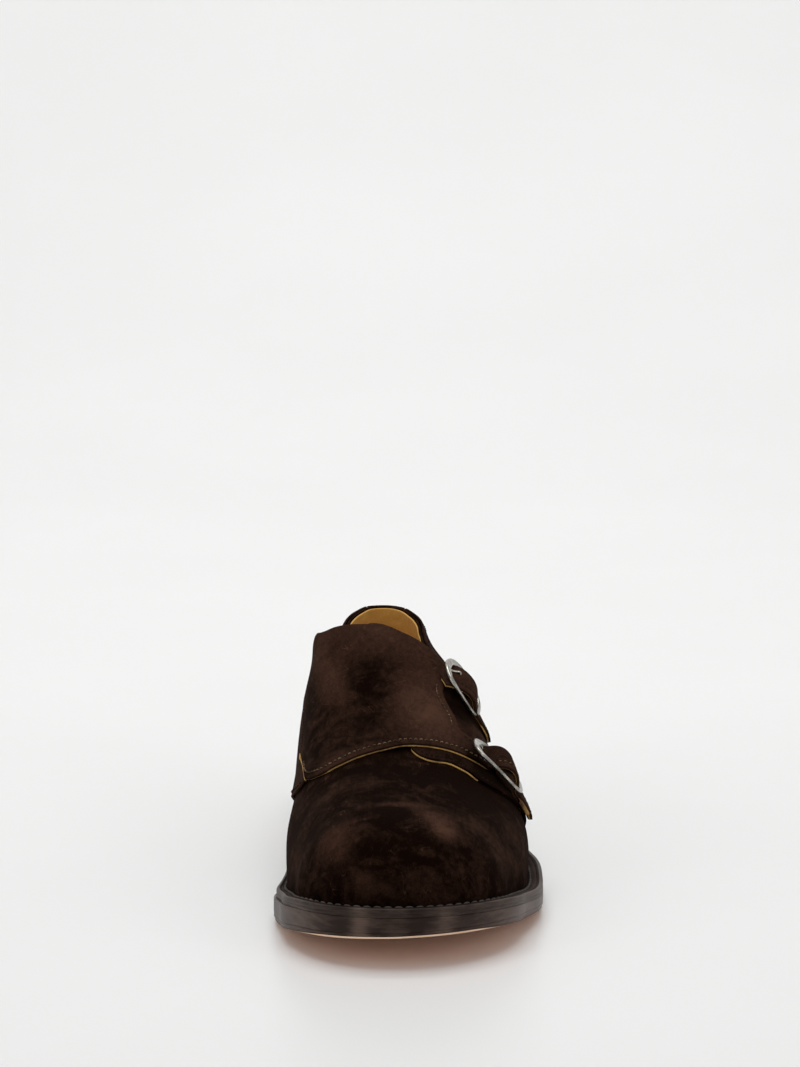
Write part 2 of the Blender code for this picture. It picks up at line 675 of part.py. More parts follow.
def make_buckle(name, buckle, metal, leather):
    middle, along, across, out, half_length = frame_axes(buckle)
    angle = np.linspace(0, 2 * math.pi, 24, endpoint=False)
    power = 2 / FRAME["corner"]
    u = np.sign(np.cos(angle)) * np.abs(np.cos(angle)) ** power * half_length
    v = np.sign(np.sin(angle)) * np.abs(np.sin(angle)) ** power * FRAME["half_width"]
    ring = middle + u[:, None] * along + v[:, None] * across
    tube(f"buckle_{name}_frame", ring, FRAME["wire"], metal, closed=True)
    reach = FRAME["half_width"] - FRAME["wire"] - GAP
    bar = [middle - across * reach, middle + across * reach]
    tube(f"buckle_{name}_bar", bar, FRAME["bar_wire"], metal)
    # The prong comes up through the strap inside the frame and rests on the frame's inner end.
    span = buckle["end_q"] - buckle["start_q"]
    share = np.linspace(0, 1, 7)
    q = buckle["start_q"] + span * (0.38 - 0.44 * share)
    row = row_at(buckle["y"])
    clear = PANEL_THICK + LIFT + PRONG_WIRE
    on_frame = ON_QUARTER + clear + buckle["clear"] + buckle["rise"] + 2 * FRAME["wire"]
    straight = (strap_lift(row, q[0], buckle) + clear) * (1 - share) + on_frame * share
    lift = np.maximum(strap_lift(row, q, buckle) + clear, np.maximum(straight, on_frame))
    tube(f"buckle_{name}_prong", around_point(row, q, lift),
         PRONG_WIRE * np.linspace(1, 0.75, 7), metal)  # fmt: skip
    make_tab(name, buckle, leather)


def make_tab(name, buckle, leather):
    """The tab lies on the quarter under the strap and hooks round the bar."""
    middle, along, across, out, half_length = frame_axes(buckle)
    middle_q = (buckle["start_q"] + buckle["end_q"]) / 2
    q_per_mm = (buckle["end_q"] - buckle["start_q"]) / 2 / half_length
    width = np.linspace(-TAB_HALF_WIDTH, TAB_HALF_WIDTH, 4)
    tail_mm = np.linspace(half_length + 6.0, 4.5, 6)[:, None]
    tail = around_point(row_at(buckle["y"] + width), middle_q + q_per_mm * tail_mm + 0 * width,
                        ON_QUARTER + TAB_THICK / 2)  # fmt: skip
    radius = FRAME["bar_wire"] + GAP + TAB_THICK / 2
    turn = np.radians(np.linspace(-90, -270, 7))
    hook = (middle + radius * (np.cos(turn)[:, None] * along + np.sin(turn)[:, None] * out))[:, None]
    points = np.concatenate([tail, hook + width[:, None] * across])
    tab = add_object(f"buckle_{name}_tab", points.reshape(-1, 3), grid_faces(len(points), 4), leather)
    solidify(tab, TAB_THICK, outward=True).modifiers["wall"].offset = 0


# ---------------------------------------------------------------- main


for old in list(bpy.data.objects):
    bpy.data.objects.remove(old)
shoe = bpy.data.collections.new("double_monk_strap_shoe")
bpy.context.scene.collection.children.link(shoe)

make_outsole()
make_welt()
make_insole()
make_heel()
make_upper()
suede = material("suede overlay", *SUEDE)
make_tongue(suede)
make_quarter("quarter_outer", OUTER_QUARTER, 1, suede)
make_quarter("quarter_inner", INNER_QUARTER, -1, suede)
make_backstay(suede)
make_strap_panel(suede)
gunmetal = material("gunmetal", (0.35, 0.33, 0.30), 0.3, 1.0)
for which, sizes in BUCKLES.items():
    make_buckle(which, sizes, gunmetal, suede)
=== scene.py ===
import math

import bmesh
import bpy
import numpy as np
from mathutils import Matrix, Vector


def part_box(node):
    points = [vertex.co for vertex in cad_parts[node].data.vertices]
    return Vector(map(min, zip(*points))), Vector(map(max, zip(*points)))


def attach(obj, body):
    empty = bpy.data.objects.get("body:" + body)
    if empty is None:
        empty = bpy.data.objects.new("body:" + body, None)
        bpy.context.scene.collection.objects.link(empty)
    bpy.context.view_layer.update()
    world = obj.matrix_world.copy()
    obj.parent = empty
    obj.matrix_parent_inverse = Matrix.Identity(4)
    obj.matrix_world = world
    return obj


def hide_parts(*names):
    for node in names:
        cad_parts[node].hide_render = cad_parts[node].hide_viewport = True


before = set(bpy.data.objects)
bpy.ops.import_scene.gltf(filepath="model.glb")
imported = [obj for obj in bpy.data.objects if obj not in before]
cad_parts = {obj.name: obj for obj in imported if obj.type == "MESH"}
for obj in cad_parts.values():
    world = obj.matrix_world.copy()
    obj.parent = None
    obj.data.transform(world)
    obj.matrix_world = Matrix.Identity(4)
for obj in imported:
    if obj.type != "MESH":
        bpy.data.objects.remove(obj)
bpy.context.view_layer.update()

mm = 0.001  # the shoe is worked out in millimetres
print("frame loaded:", len(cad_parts), "nodes")

# The last

soleLow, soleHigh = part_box("outsole")
last = {
    "toeY": soleLow.y / mm + 46.2,  # centre that the toe sections fan round
    "heelY": soleHigh.y / mm - 34.2,  # centre that the heel sections fan round
    "toeRoot": 3,  # last section of the toe fan
    "heelRoot": 11,  # first section of the heel fan
    "tuckHeight": 22.0,
    "toeSlope": 0.10,
}
# turn, middle, then reach, tuck, squareness, ridge and welt of the inner side and of the outer side
sections = np.array([
    (0, -8.0, 40.0, 0.5, 2.5, 53.5, 5.5, 40.0, 0.5, 2.5, 53.5, 5.5),
    (30, -8.0, 38.8, 0.7, 2.5, 53.5, 5.2, 41.3, 0.7, 2.5, 53.5, 5.5),
    (60, -8.0, 36.8, 0.8, 2.5, 53.5, 4.7, 43.6, 0.8, 2.4, 53.5, 5.5),
    (90, -8.0, 37.6, 0.8, 2.4, 53.5, 4.6, 48.0, 1.0, 2.3, 53.5, 6.1),
    (90, -9.0, 41.0, 0.7, 2.4, 56.3, 3.4, 57.0, 1.2, 2.2, 56.3, 5.8),
    (90, -11.0, 41.2, 3.4, 2.4, 60.7, 1.5, 62.8, 2.8, 2.1, 60.7, 5.5),
    (90, -13.2, 37.4, 4.5, 2.6, 69.3, 2.2, 63.8, 4.0, 2.1, 69.3, 6.4),
    (90, -15.4, 33.0, 7.0, 3.0, 84.6, 3.2, 57.0, 4.0, 2.2, 84.6, 6.2),
    (90, -16.8, 30.4, 10.0, 3.5, 100.4, 3.0, 48.6, 5.0, 2.2, 100.4, 4.2),
    (90, -14.0, 30.5, 9.0, 3.4, 104.0, 2.5, 41.0, 5.0, 2.1, 92.0, 3.0),
    (90, -11.0, 31.5, 4.0, 2.4, 90.0, 2.0, 36.5, 4.0, 2.2, 86.0, 2.0),
    (90, -10.0, 32.5, 3.0, 1.95, 92.0, 2.0, 34.5, 3.0, 1.95, 88.0, 2.0),
    (120, -10.0, 33.0, 3.0, 1.95, 98.0, 2.0, 34.0, 3.0, 1.95, 92.5, 2.0),
    (150, -10.0, 33.5, 3.0, 1.95, 117.0, 2.0, 34.0, 3.0, 1.95, 110.0, 2.0),
    (180, -10.0, 34.0, 3.0, 2.0, 141.0, 2.0, 34.0, 3.0, 2.0, 141.0, 2.0),
])
lastRow = len(sections) - 1
sizeRing = np.concatenate([sections[:, 2:7], sections[-2:0:-1, 7:12]])
# heights along the foot: underside of the outsole and depth of the whole sole edge
soleAt = np.array([-152, -128, -104, -80, -60, -24, -4, 28, 58, 80, 104, 152.0])
soleUnder = np.array([12.6, 9.9, 5.9, 2.5, 0.3, 0, 1.6, 8.6, 17.2, 21.6, 24.2, 25.4])
soleEdge = np.array([12.3, 12.2, 12.0, 11.5, 12.0, 12.3, 11.8, 10.8, 9.6, 9.0, 8.6, 8.2])
rollAt = np.array([-80, -60, -24])  # how much the underside climbs to the outer side, per millimetre
rollShare = np.array([0.030, 0.020, 0.0])
# where a wall line that starts at a foot row ends, and how high or how far up the section
throatFeet = np.array([6.9, 7.1, 7.3, 7.5, 7.7])
throatTops = np.array([7.4, 7.5, 7.64, 7.82, 8.0])
throatIn = np.array([1.0, 0.94, 0.88, 0.82, 0.76])
throatOut = np.array([1.0, 0.90, 0.80, 0.69, 0.60])
collarFeet = np.array([7.7, 8.0, 8.45, 9, 10, 11, 12, 13, 13.5, 14, 14.5])
collarTops = np.array([8.0, 8.3, 8.65, 9.1, 10, 11, 12, 13, 13.5, 14, 14.5])
collarIn = np.array([95, 94.2, 91.5, 83.5, 77, 80.8, 82.9, 86.8, 88.3, 88.2, 87.6])
collarOut = np.array([82.8, 80.4, 79, 77.6, 76.3, 80.3, 82.2, 85.7, 87.6, 88.2, 87.6])


def smoothStep(x, low, high):
    # 0 below low, 1 above high, with a soft S between
    f = np.clip((np.asarray(x, float) - low) / (high - low), 0, 1)
    return f * f * (3 - 2 * f)


def throughPoints(x, at, value):
    # cubic through a table's points whose slopes never let it overshoot them
    at, value, x = np.asarray(at, float), np.asarray(value, float), np.asarray(x, float)
    steps = np.diff(at)
    rates = np.diff(value) / steps
    before, after = rates[:-1], rates[1:]
    agree = before * after > 0
    middle = np.where(agree, 2 * before * after / np.where(agree, before + after, 1), 0)
    slopes = np.concatenate([rates[:1], middle, rates[-1:]])
    x = np.clip(x, at[0], at[-1])
    low = np.clip(np.searchsorted(at, x, side="right") - 1, 0, len(steps) - 1)
    f = (x - at[low]) / steps[low]
    a, b = value[low], value[low + 1]
    ma, mb = slopes[low] * steps[low], slopes[low + 1] * steps[low]
    return a + f * ma + f**2 * (3 * (b - a) - 2 * ma - mb) + f**3 * (2 * (a - b) + ma + mb)


def lengthsAlong(path):
    # length from the path's start to each of its points
    return np.r_[0, np.cumsum(np.linalg.norm(np.diff(path, axis=0), axis=1))]


def readAlong(at, along, points):
    # points or directions read between a path's own at some lengths along it
    return np.stack([np.interp(at, along, points[:, k]) for k in range(3)], -1)


def catmull(p0, p1, p2, p3, f):
    # cubic from p1 to p2 with the slopes that the neighbours give
    return 0.5 * (2 * p1 + (p2 - p0) * f + (2 * p0 - 5 * p1 + 4 * p2 - p3) * f**2
                  + (3 * p1 - p0 - 3 * p2 + p3) * f**3)


def underOf(y):
    # height of the outsole's underside at a place along the foot
    return throughPoints(y, soleAt, soleUnder)


def treadOf(plan):
    # underside under a plan point: height along the foot, and the climb to the outer side, from the floor up
    climb = np.interp(plan[:, 1], rollAt, rollShare) * (plan[:, 0] - sections[0, 1])
    return np.maximum(underOf(plan[:, 1]) + climb, 0)


def featherOf(y):
    # height where the upper's foot meets the welt: underside plus the whole sole edge
    return underOf(y) + throughPoints(y, soleAt, soleEdge)


def sectionAt(row, side):
    # middle, outward direction and sizes of the section at a row, read from the ring of sizes
    row = np.clip(np.asarray(row, float), 0, lastRow)
    turn = np.radians(np.interp(row, np.arange(len(sections)), sections[:, 0]))
    y = np.interp(row, (last["toeRoot"], last["heelRoot"]), (last["toeY"], last["heelY"]))
    inner = np.clip(row, last["toeRoot"], last["heelRoot"])
    low = np.clip(np.floor(inner).astype(int), last["toeRoot"], last["heelRoot"] - 1)
    x = catmull(*(sections[low + k, 1] for k in (-1, 0, 1, 2)), inner - low)
    count = len(sizeRing)
    around = np.where(side < 0, row, (count - row) % count)
    low = np.floor(around).astype(int)
    sizes = catmull(*(sizeRing[(low + k - 1) % count] for k in range(4)), (around - low)[..., None])
    reach, tuck, full, ridge, ledge = np.moveaxis(sizes, -1, 0)
    ridge = np.where(row < last["toeRoot"], sections[last["toeRoot"], 5], ridge)
    return x, y, np.sin(turn) * side, -np.cos(turn), reach, tuck, full, ridge, ledge


def wallPoint(row, q):
    # point of the last: a quarter of a superellipse on each side, tucked in at its foot.
    # q runs from 0 at the inner foot over 1 at the ridge to 2 at the outer foot
    row, q = np.broadcast_arrays(np.asarray(row, float), np.asarray(q, float))
    side = np.where(q < 1, -1, 1)
    angle = np.where(q < 1, q, 2 - q) * math.pi / 2
    x, y, dx, dy, reach, tuck, full, ridge, _ = sectionAt(row, side)
    foot = featherOf(y + (reach - tuck) * dy)
    rise = (ridge - foot) * np.sin(angle)
    radius = reach * np.clip(np.cos(angle), 0, 1) ** (2 / full)
    radius = radius - tuck * np.clip(1 - rise / last["tuckHeight"], 0, 1) ** 2
    tilt = np.where(row < last["toeRoot"], last["toeSlope"] * radius * dy * np.sin(angle) ** 4, 0)
    return np.stack([x + radius * dx, y + radius * dy, foot + rise + tilt], -1)


def wallNormal(row, q):
    # outward direction from two differences, taken a little off the pole over the toe
    q = np.where(np.abs(q - 1) < 2e-4, 1 - 2e-4, q)
    step = 1e-3
    along = wallPoint(row + step, q) - wallPoint(row - step, q)
    across = wallPoint(row, q + step) - wallPoint(row, q - step)
    normal = np.cross(across, along)
    return normal / np.maximum(np.linalg.norm(normal, axis=-1, keepdims=True), 1e-12)


def overWall(row, q, height):
    # point of the last moved outwards by a height
    return wallPoint(row, q) + wallNormal(row, q) * np.asarray(height)[..., None]


# soft dents and swells of the lasted leather: row and q on the last, length and width in
# millimetres, turn of the long axis from the foot's own direction in degrees, height
swells = [
    (1.3, 0.45, 34, 16, 20, -0.35), (1.2, 1.45, 30, 16, -25, -0.30), (3.1, 0.80, 20, 8, 35, 0.30),
    (3.7, 1.20, 26, 11, -30, -0.45), (4.4, 0.62, 22, 12, 15, -0.45), (4.9, 1.45, 24, 13, -20, -0.50),
    (5.3, 1.70, 26, 12, 10, 0.40), (5.6, 0.30, 26, 12, -12, 0.40), (8.6, 0.45, 26, 13, 24, -0.70),
    (9.3, 0.35, 24, 12, 18, 0.50), (8.9, 1.62, 26, 13, -24, -0.60), (9.7, 1.70, 24, 12, -16, 0.50),
    (11.8, 0.45, 30, 14, 0, -0.35), (11.9, 1.55, 30, 14, 0, -0.35), (10.75, 1.47, 28, 9, 0, -2.6),
]


def bells(points, marks):
    # sum of turned bell shapes laid on the last, each exp of minus the squared distance
    total = np.zeros(points.shape[:-1])
    for row, q, length, width, turn, height in marks:
        centre, normal = wallPoint(row, q), wallNormal(row, q)
        ahead = wallPoint(row + 0.02, q) - centre
        ahead = ahead / np.linalg.norm(ahead)
        aside = np.cross(normal, ahead)
        c, s = math.cos(math.radians(turn)), math.sin(math.radians(turn))
        offset = points - centre
        a, b = offset @ (ahead * c + aside * s) / length, offset @ (aside * c - ahead * s) / width
        depth = offset @ normal / max(length, width)
        total += height * np.exp(-a * a - b * b - depth * depth)
    return total


def lastPoint(row, q, lift=0.0):
    # point at a height over the last; the dents fade out at the foot, so the seam on the welt is even
    row, q, lift = np.broadcast_arrays(*(np.asarray(v, float) for v in (row, q, lift)))
    swell = bells(wallPoint(row, q), swells) * smoothStep(np.minimum(q, 2 - q), 0.02, 0.2)
    return overWall(row, q, lift + swell)


def rowOf(y):
    # section at a place along the foot, in even steps between the two fans' centres
    span = last["heelRoot"] - last["toeRoot"]
    return last["toeRoot"] + (np.asarray(y, float) - last["toeY"]) * span / (last["heelY"] - last["toeY"])


def upTo(row, height, side):
    # how far up a section a height lies, by bisection
    low, high = np.zeros_like(row), np.ones_like(row)
    for _ in range(26):
        middle = (low + high) / 2
        below = wallPoint(row, np.where(side < 0, middle, 2 - middle))[..., 2] < height
        low, high = np.where(below, middle, low), np.where(below, high, middle)
    return low


def collarUp(topRow, side, above=0.0):
    # how far up its section the collar runs, or a line at a height above it
    height = throughPoints(topRow, collarTops, collarIn if side < 0 else collarOut)
    return upTo(topRow, height + above, side)


def wallTop(footRow, side, above=0.0):
    # row and share of the section where the wall line from a foot row ends
    feet = np.r_[0, last["toeRoot"] + 2, throatFeet, collarFeet[1:]]
    tops = np.r_[0, last["toeRoot"] + 2, throatTops, collarTops[1:]]
    topRow = np.interp(footRow, feet, tops)
    up = np.interp(footRow, throatFeet, throatIn if side < 0 else throatOut)
    return topRow, np.where(footRow < throatFeet[-1], up, collarUp(topRow, side, above))


print("last ready")

# Meshes


def gridFaces(rows, columns, wrap=False):
    # quads between neighbouring rows and columns; wrap joins the last column to the first
    i = np.arange(rows - 1)[:, None] * columns
    j = np.arange(columns if wrap else columns - 1)[None]
    k = (j + 1) % columns
    return np.stack([i + j, i + k, i + columns + k, i + columns + j], -1).reshape(-1, 4)


def newObject(name, data):
    made = bpy.data.objects.new(name, data)
    bpy.context.scene.collection.objects.link(made)
    return made


def addPiece(name, points, faces, finishes, slotName, nodes=(), tone=None, marks=None, towards=None,
             wall=None):
    # mesh piece from points in millimetres, welded, facing outwards, riding on the shoe's one body.
    # wall is the thickness, the side and the edge rounding of a piece that starts as an open sheet
    mesh = bpy.data.meshes.new(name)
    corners = (np.asarray(points).reshape(-1, 3) * mm).tolist()
    mesh.from_pydata(corners, [], [list(map(int, face)) for face in faces])
    for finish in finishes:
        mesh.materials.append(finish)
    if marks is not None:
        mesh.polygons.foreach_set("material_index", np.asarray(marks, np.int32))
    if tone is not None:
        toneAndPaintedLight = mesh.attributes.new("toneAndPaintedLight", "FLOAT", "POINT")
        toneAndPaintedLight.data.foreach_set("value", np.asarray(tone, np.float32).ravel())
    bm = bmesh.new()
    bm.from_mesh(mesh)
    bmesh.ops.remove_doubles(bm, verts=bm.verts, dist=8e-6)
    bmesh.ops.dissolve_degenerate(bm, edges=bm.edges, dist=1e-6)
    bmesh.ops.recalc_face_normals(bm, faces=bm.faces)
    bm.to_mesh(mesh)
    bm.free()
    if towards is not None:
        facing, area = np.zeros(len(mesh.polygons) * 3), np.zeros(len(mesh.polygons))
        mesh.polygons.foreach_get("normal", facing)
        mesh.polygons.foreach_get("area", area)
        if (facing.reshape(-1, 3) * area[:, None]).sum(0) @ towards < 0:
            mesh.flip_normals()
    mesh.shade_smooth()
    piece = newObject(name, mesh)
    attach(piece, "root")
    if nodes:
        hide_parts(*nodes)
    if wall:
        thicken(piece, *wall)


def addGrid(name, grid, finishOf, slotName, nodes=(), wrap=False, **more):
    # piece whose faces are the quads of a grid of points
    addPiece(name, grid, gridFaces(*grid.shape[:2], wrap=wrap), [finishOf], slotName, nodes, **more)


def thicken(piece, thickness, outward, rounding):
    # gives an open sheet its wall and rounds the wall's edges
    wall = piece.modifiers.new("wall", "SOLIDIFY")
    wall.thickness = thickness * mm
    wall.offset = 1 if outward else -1
    wall.use_even_offset = True
    wall.use_quality_normals = True
    soft = piece.modifiers.new("edge", "BEVEL")
    soft.width = rounding * mm
    soft.segments = 2
    soft.limit_method = "ANGLE"
    soft.angle_limit = math.radians(55)


def unit(vectors):
    return vectors / np.maximum(np.linalg.norm(vectors, axis=-1, keepdims=True), 1e-12)


def surfaceNormals(grid):
    # outward directions of a grid of points from its neighbours' differences
    return unit(np.cross(np.gradient(grid, axis=1), np.gradient(grid, axis=0)))


def rods(paths, ups, wide, high, sides):
    # oval sections carried along paths of shape (many, steps, 3), closed by a face at either end;
    # wide and high are half sizes
    many, steps = paths.shape[:2]
    tangent = unit(np.gradient(paths, axis=1))
    across = unit(np.cross(tangent, ups))
    up = np.cross(across, tangent)
    angle = np.linspace(0, 2 * math.pi, sides, endpoint=False)[:, None]
    wide, high = (np.broadcast_to(v, (many, steps))[..., None, None] for v in (wide, high))
    ring = paths[:, :, None] + np.cos(angle) * wide * across[:, :, None]
    ring = ring + np.sin(angle) * high * up[:, :, None]
    base = (np.arange(many) * steps * sides)[:, None, None]
    around = (gridFaces(steps, sides, wrap=True)[None] + base).reshape(-1, 4)
    ends = np.stack([np.arange(sides)[::-1], np.arange(sides) + (steps - 1) * sides])
    return ring.reshape(-1, 3), list(around) + list((ends[None] + base).reshape(-1, sides))


def joined(parts):
    # one set of points and faces out of several
    points, faces, base = [], [], 0
    for somePoints, someFaces in parts:
        somePoints = np.asarray(somePoints).reshape(-1, 3)
        points.append(somePoints)
        faces.extend(np.asarray(face) + base for face in someFaces)
        base += len(somePoints)
    return np.concatenate(points), faces


thread = {"pitch": 2.25, "length": 1.45, "radius": 0.30, "arch": 0.22, "sink": 0.30, "buried": 0.2,
          "taper": 0.4, "flat": 0.9}


def stitches(path, normals, pitch=None, length=None, radius=None, proud=1.0):
    # short arched rods along a path at an even pitch; their ends dip into the leather, and a seam
    # that is less proud lies lower and flatter
    pitch, length = pitch or thread["pitch"], length or thread["length"]
    radius = radius or thread["radius"]
    along = lengthsAlong(path)
    count = max(2, int(round(along[-1] / pitch)))
    share = np.linspace(-1, 1, 5)
    at = ((np.arange(count) + 0.5) * along[-1] / count)[:, None] + share * length / 2
    points, up = readAlong(at, along, path), unit(readAlong(at, along, normals))
    rise = thread["arch"] * proud * (1 - share**2) - thread["sink"] * share**4
    rise = rise - thread["buried"] * (1 - proud)
    size = radius * (1 - thread["taper"] * share**4)
    return rods(points + up * rise[:, None], up, size, size * thread["flat"], 6)


def sew(name, seams, finishOf):
    # one piece out of several rows of stitches
    addPiece(name, *joined(seams), [finishOf], "upper_suede")


print("mesh tools ready")

# Materials


def addNode(tree, kind, inputs=None, **settings):
    # a shader node with its settings, its input values and its links
    made = tree.nodes.new("ShaderNode" + kind)
    for key, value in settings.items():
        setattr(made, key, value)
    for key, value in (inputs or {}).items():
        if isinstance(value, bpy.types.NodeSocket):
            tree.links.new(value, made.inputs[key])
        else:
            made.inputs[key].default_value = value
    return made


def calc(tree, operation, *values):
    made = addNode(tree, "Math", dict(enumerate(values)), operation=operation)
    return made.outputs[0]


def objectPlace(tree):
    return addNode(tree, "TexCoord").outputs["Object"]


def readToneAndPaintedLight(tree):
    # brushed places, painted highlight and painted shade on the suede, and painted reflections on the sole's
    # edge, that a piece carries as an attribute of its points
    return addNode(tree, "Attribute", attribute_name="toneAndPaintedLight").outputs["Fac"]


# patterns: scale per metre, detail, roughness and distortion of a noise
patterns = {
    "napBreaks": (75.0, 5.0, 0.65, 0.9), "napClouds": (42.0, 4.0, 0.6, 0.6),
    "napFlecks": (330.0, 4.0, 0.65, 0.3), "napStreaks": (520.0, 3.0, 0.6, 0.8),
    "napFibre": (2300.0, 3.0, 0.7, 0.0),
    "scratchLines": (78.0, 1.0, 0.4, 1.6), "scratchPatches": (95.0, 3.0, 0.6, 0.0),
    "grainStains": (75.0, 5.0, 0.6, 0.5), "grainPores": (1400.0, 3.0, 0.6, 0.0),
    "waxLines": (2600.0, 3.0, 0.6, 0.2), "waxRubs": (420.0, 4.0, 0.6, 0.5), "waxDull": (60.0, 4.0, 0.6, 0.0),
    "nickelClouds": (240.0, 5.0, 0.65, 0.4), "nickelSpots": (900.0, 3.0, 0.6, 0.0),
    "nickelHair": (4200.0, 2.0, 0.6, 0.0), "paperClouds": (3.0, 3.0, 0.55, 0.0),
    "paperGrain": (900.0, 3.0, 0.55, 0.0),
}


def noise(tree, place, name):
    inputs = dict(zip(("Scale", "Detail", "Roughness", "Distortion"), patterns[name]))
    return addNode(tree, "TexNoise", {"Vector": place, **inputs}).outputs["Fac"]


def stretched(tree, place, turn, scale):
    # coordinates turned and scaled, so that a pattern runs along one direction
    return addNode(tree, "Mapping", {"Vector": place, "Rotation": turn, "Scale": scale}).outputs["Vector"]


def swung(tree, pattern, amount, base):
    # base plus the pattern's swing around its middle, times an amount
    return calc(tree, "MULTIPLY_ADD", calc(tree, "SUBTRACT", pattern, 0.5), amount, base)


def mixed(tree, share, a, b):
    made = addNode(tree, "Mix", {0: share, 6: a, 7: b}, data_type="RGBA")
    return made.outputs[2]


def ramp(tree, value, low, high, atLow=0.0, atHigh=1.0):
    # soft step between two values as the input goes from low to high
    made = addNode(tree, "MapRange", {"Value": value, "From Min": low, "From Max": high,
                                      "To Min": atLow, "To Max": atHigh}, interpolation_type="SMOOTHSTEP")
    return made.outputs[0]


def newGroup(name, inputs, outputs):
    # an empty node group with named sockets; returns its tree, its inputs and its output node
    tree = bpy.data.node_groups.new(name, "ShaderNodeTree")
    for label, value in inputs.items():
        kind = "NodeSocketFloat" if isinstance(value, float) else "NodeSocketColor"
        tree.interface.new_socket(label, in_out="INPUT", socket_type=kind).default_value = value
    for label, kind in outputs.items():
        tree.interface.new_socket(label, in_out="OUTPUT", socket_type=kind)
    return tree, tree.nodes.new("NodeGroupInput").outputs, tree.nodes.new("NodeGroupOutput").inputs


lookSockets = {"Color": "NodeSocketColor", "Roughness": "NodeSocketFloat", "Height": "NodeSocketFloat"}


def suedeNap():
    # brushed nap: clouds, flecks and streaks around the piece's own marks, which hold painted light and
    # shade too, and which a noise breaks up
    tree, given, out = newGroup("suedeNap", {
        "Dark": (0.01, 0.005, 0.003, 1), "Light": (0.09, 0.05, 0.035, 1), "Clouds": 0.5, "Flecks": 0.5,
        "Streaks": 0.4, "Scratches": 0.0}, lookSockets)
    place = objectPlace(tree)
    broken = ramp(tree, noise(tree, place, "napBreaks"), 0.34, 0.68, 0.45, 1.65)
    marks = calc(tree, "MULTIPLY", readToneAndPaintedLight(tree), broken)
    clouds = noise(tree, place, "napClouds")
    flecks = noise(tree, place, "napFlecks")
    brushed = noise(tree, stretched(tree, place, (0.5, 0.4, 0.9), (1.0, 0.16, 1.0)), "napStreaks")
    fibre = noise(tree, place, "napFibre")
    tone = swung(tree, clouds, given["Clouds"], marks)
    tone = swung(tree, flecks, given["Flecks"], tone)
    tone = swung(tree, brushed, given["Streaks"], tone)
    tone = swung(tree, fibre, 0.8, tone)
    # scratches: thin curved lines where a bent noise crosses its middle, in patches
    bent = noise(tree, stretched(tree, place, (0.2, 0.3, -0.4), (1.0, 1.0, 0.5)), "scratchLines")
    line = ramp(tree, calc(tree, "ABSOLUTE", calc(tree, "SUBTRACT", bent, 0.5)), 0.0, 0.011, 1.0, 0.0)
    patch = ramp(tree, noise(tree, place, "scratchPatches"), 0.45, 0.62)
    drawn = calc(tree, "MULTIPLY", calc(tree, "MULTIPLY", line, patch), given["Scratches"])
    tone = calc(tree, "ADD", tone, drawn)
    share = ramp(tree, tone, -0.75, 1.0)
    tree.links.new(mixed(tree, share, given["Dark"], given["Light"]), out["Color"])
    tree.links.new(ramp(tree, tone, -0.5, 0.9, 0.98, 0.86), out["Roughness"])
    height = calc(tree, "MULTIPLY_ADD", fibre, 0.5, calc(tree, "MULTIPLY", flecks, 0.8))
    tree.links.new(calc(tree, "MULTIPLY_ADD", brushed, 0.5, height), out["Height"])
    return tree


def leatherGrain():
    # pebbled grain with soft stains, for smooth leather
    tree, given, out = newGroup("leatherGrain", {
        "Base": (0.3, 0.2, 0.1, 1), "Stain": (0.2, 0.1, 0.05, 1), "Scale": 900.0, "Stains": 0.6,
        "Rough": 0.6}, lookSockets)
    place = objectPlace(tree)
    cells = addNode(tree, "TexVoronoi", {"Vector": place, "Scale": given["Scale"]}).outputs["Distance"]
    patches = noise(tree, place, "grainStains")
    pores = noise(tree, place, "grainPores")
    share = calc(tree, "MULTIPLY", ramp(tree, calc(tree, "MULTIPLY_ADD", pores, 0.35, patches), 0.45, 0.95),
                 given["Stains"])
    tree.links.new(mixed(tree, share, given["Base"], given["Stain"]), out["Color"])
    tree.links.new(calc(tree, "MULTIPLY_ADD", patches, 0.2, given["Rough"]), out["Roughness"])
    tree.links.new(calc(tree, "MULTIPLY_ADD", pores, 0.6, cells), out["Height"])
    return tree


def burnish():
    # cut leather edge, waxed and rubbed along its length: thin level lines, rub marks and dull patches, and
    # the painted reflections that the piece carries as an attribute
    tree, given, out = newGroup("burnish", {
        "Base": (0.05, 0.03, 0.02, 1), "RubbedAndLit": (0.1, 0.07, 0.05, 1), "Lines": 0.5,
        "Rough": 0.3}, lookSockets)
    place = objectPlace(tree)
    lines = noise(tree, stretched(tree, place, (0, 0, 0), (0.05, 0.05, 1.0)), "waxLines")
    rubs = noise(tree, stretched(tree, place, (0, 0, 0), (0.25, 0.25, 1.0)), "waxRubs")
    dull = noise(tree, place, "waxDull")
    share = swung(tree, lines, given["Lines"], calc(tree, "MULTIPLY_ADD", rubs, 0.9, readToneAndPaintedLight(tree)))
    tree.links.new(mixed(tree, ramp(tree, share, 0.25, 1.1), given["Base"], given["RubbedAndLit"]), out["Color"])
    rough = calc(tree, "MULTIPLY_ADD", dull, 0.22, calc(tree, "MULTIPLY_ADD", rubs, 0.16, given["Rough"]))
    tree.links.new(rough, out["Roughness"])
    tree.links.new(calc(tree, "MULTIPLY_ADD", lines, 0.4, rubs), out["Height"])
    return tree


def addRelief(tree, shader, bump, depth, height):
    # fine relief of the surface, at a strength and a depth in millimetres
    relief = addNode(tree, "Bump", {"Strength": bump, "Distance": depth * mm, "Height": height})
    tree.links.new(relief.outputs["Normal"], shader.inputs["Normal"])


def setValues(sockets, values):
    for key, value in values.items():
        sockets[key].default_value = value


def newMaterial(name):
    made = bpy.data.materials.new(name)
    made.use_nodes = True
    return made, made.node_tree, made.node_tree.nodes["Principled BSDF"]


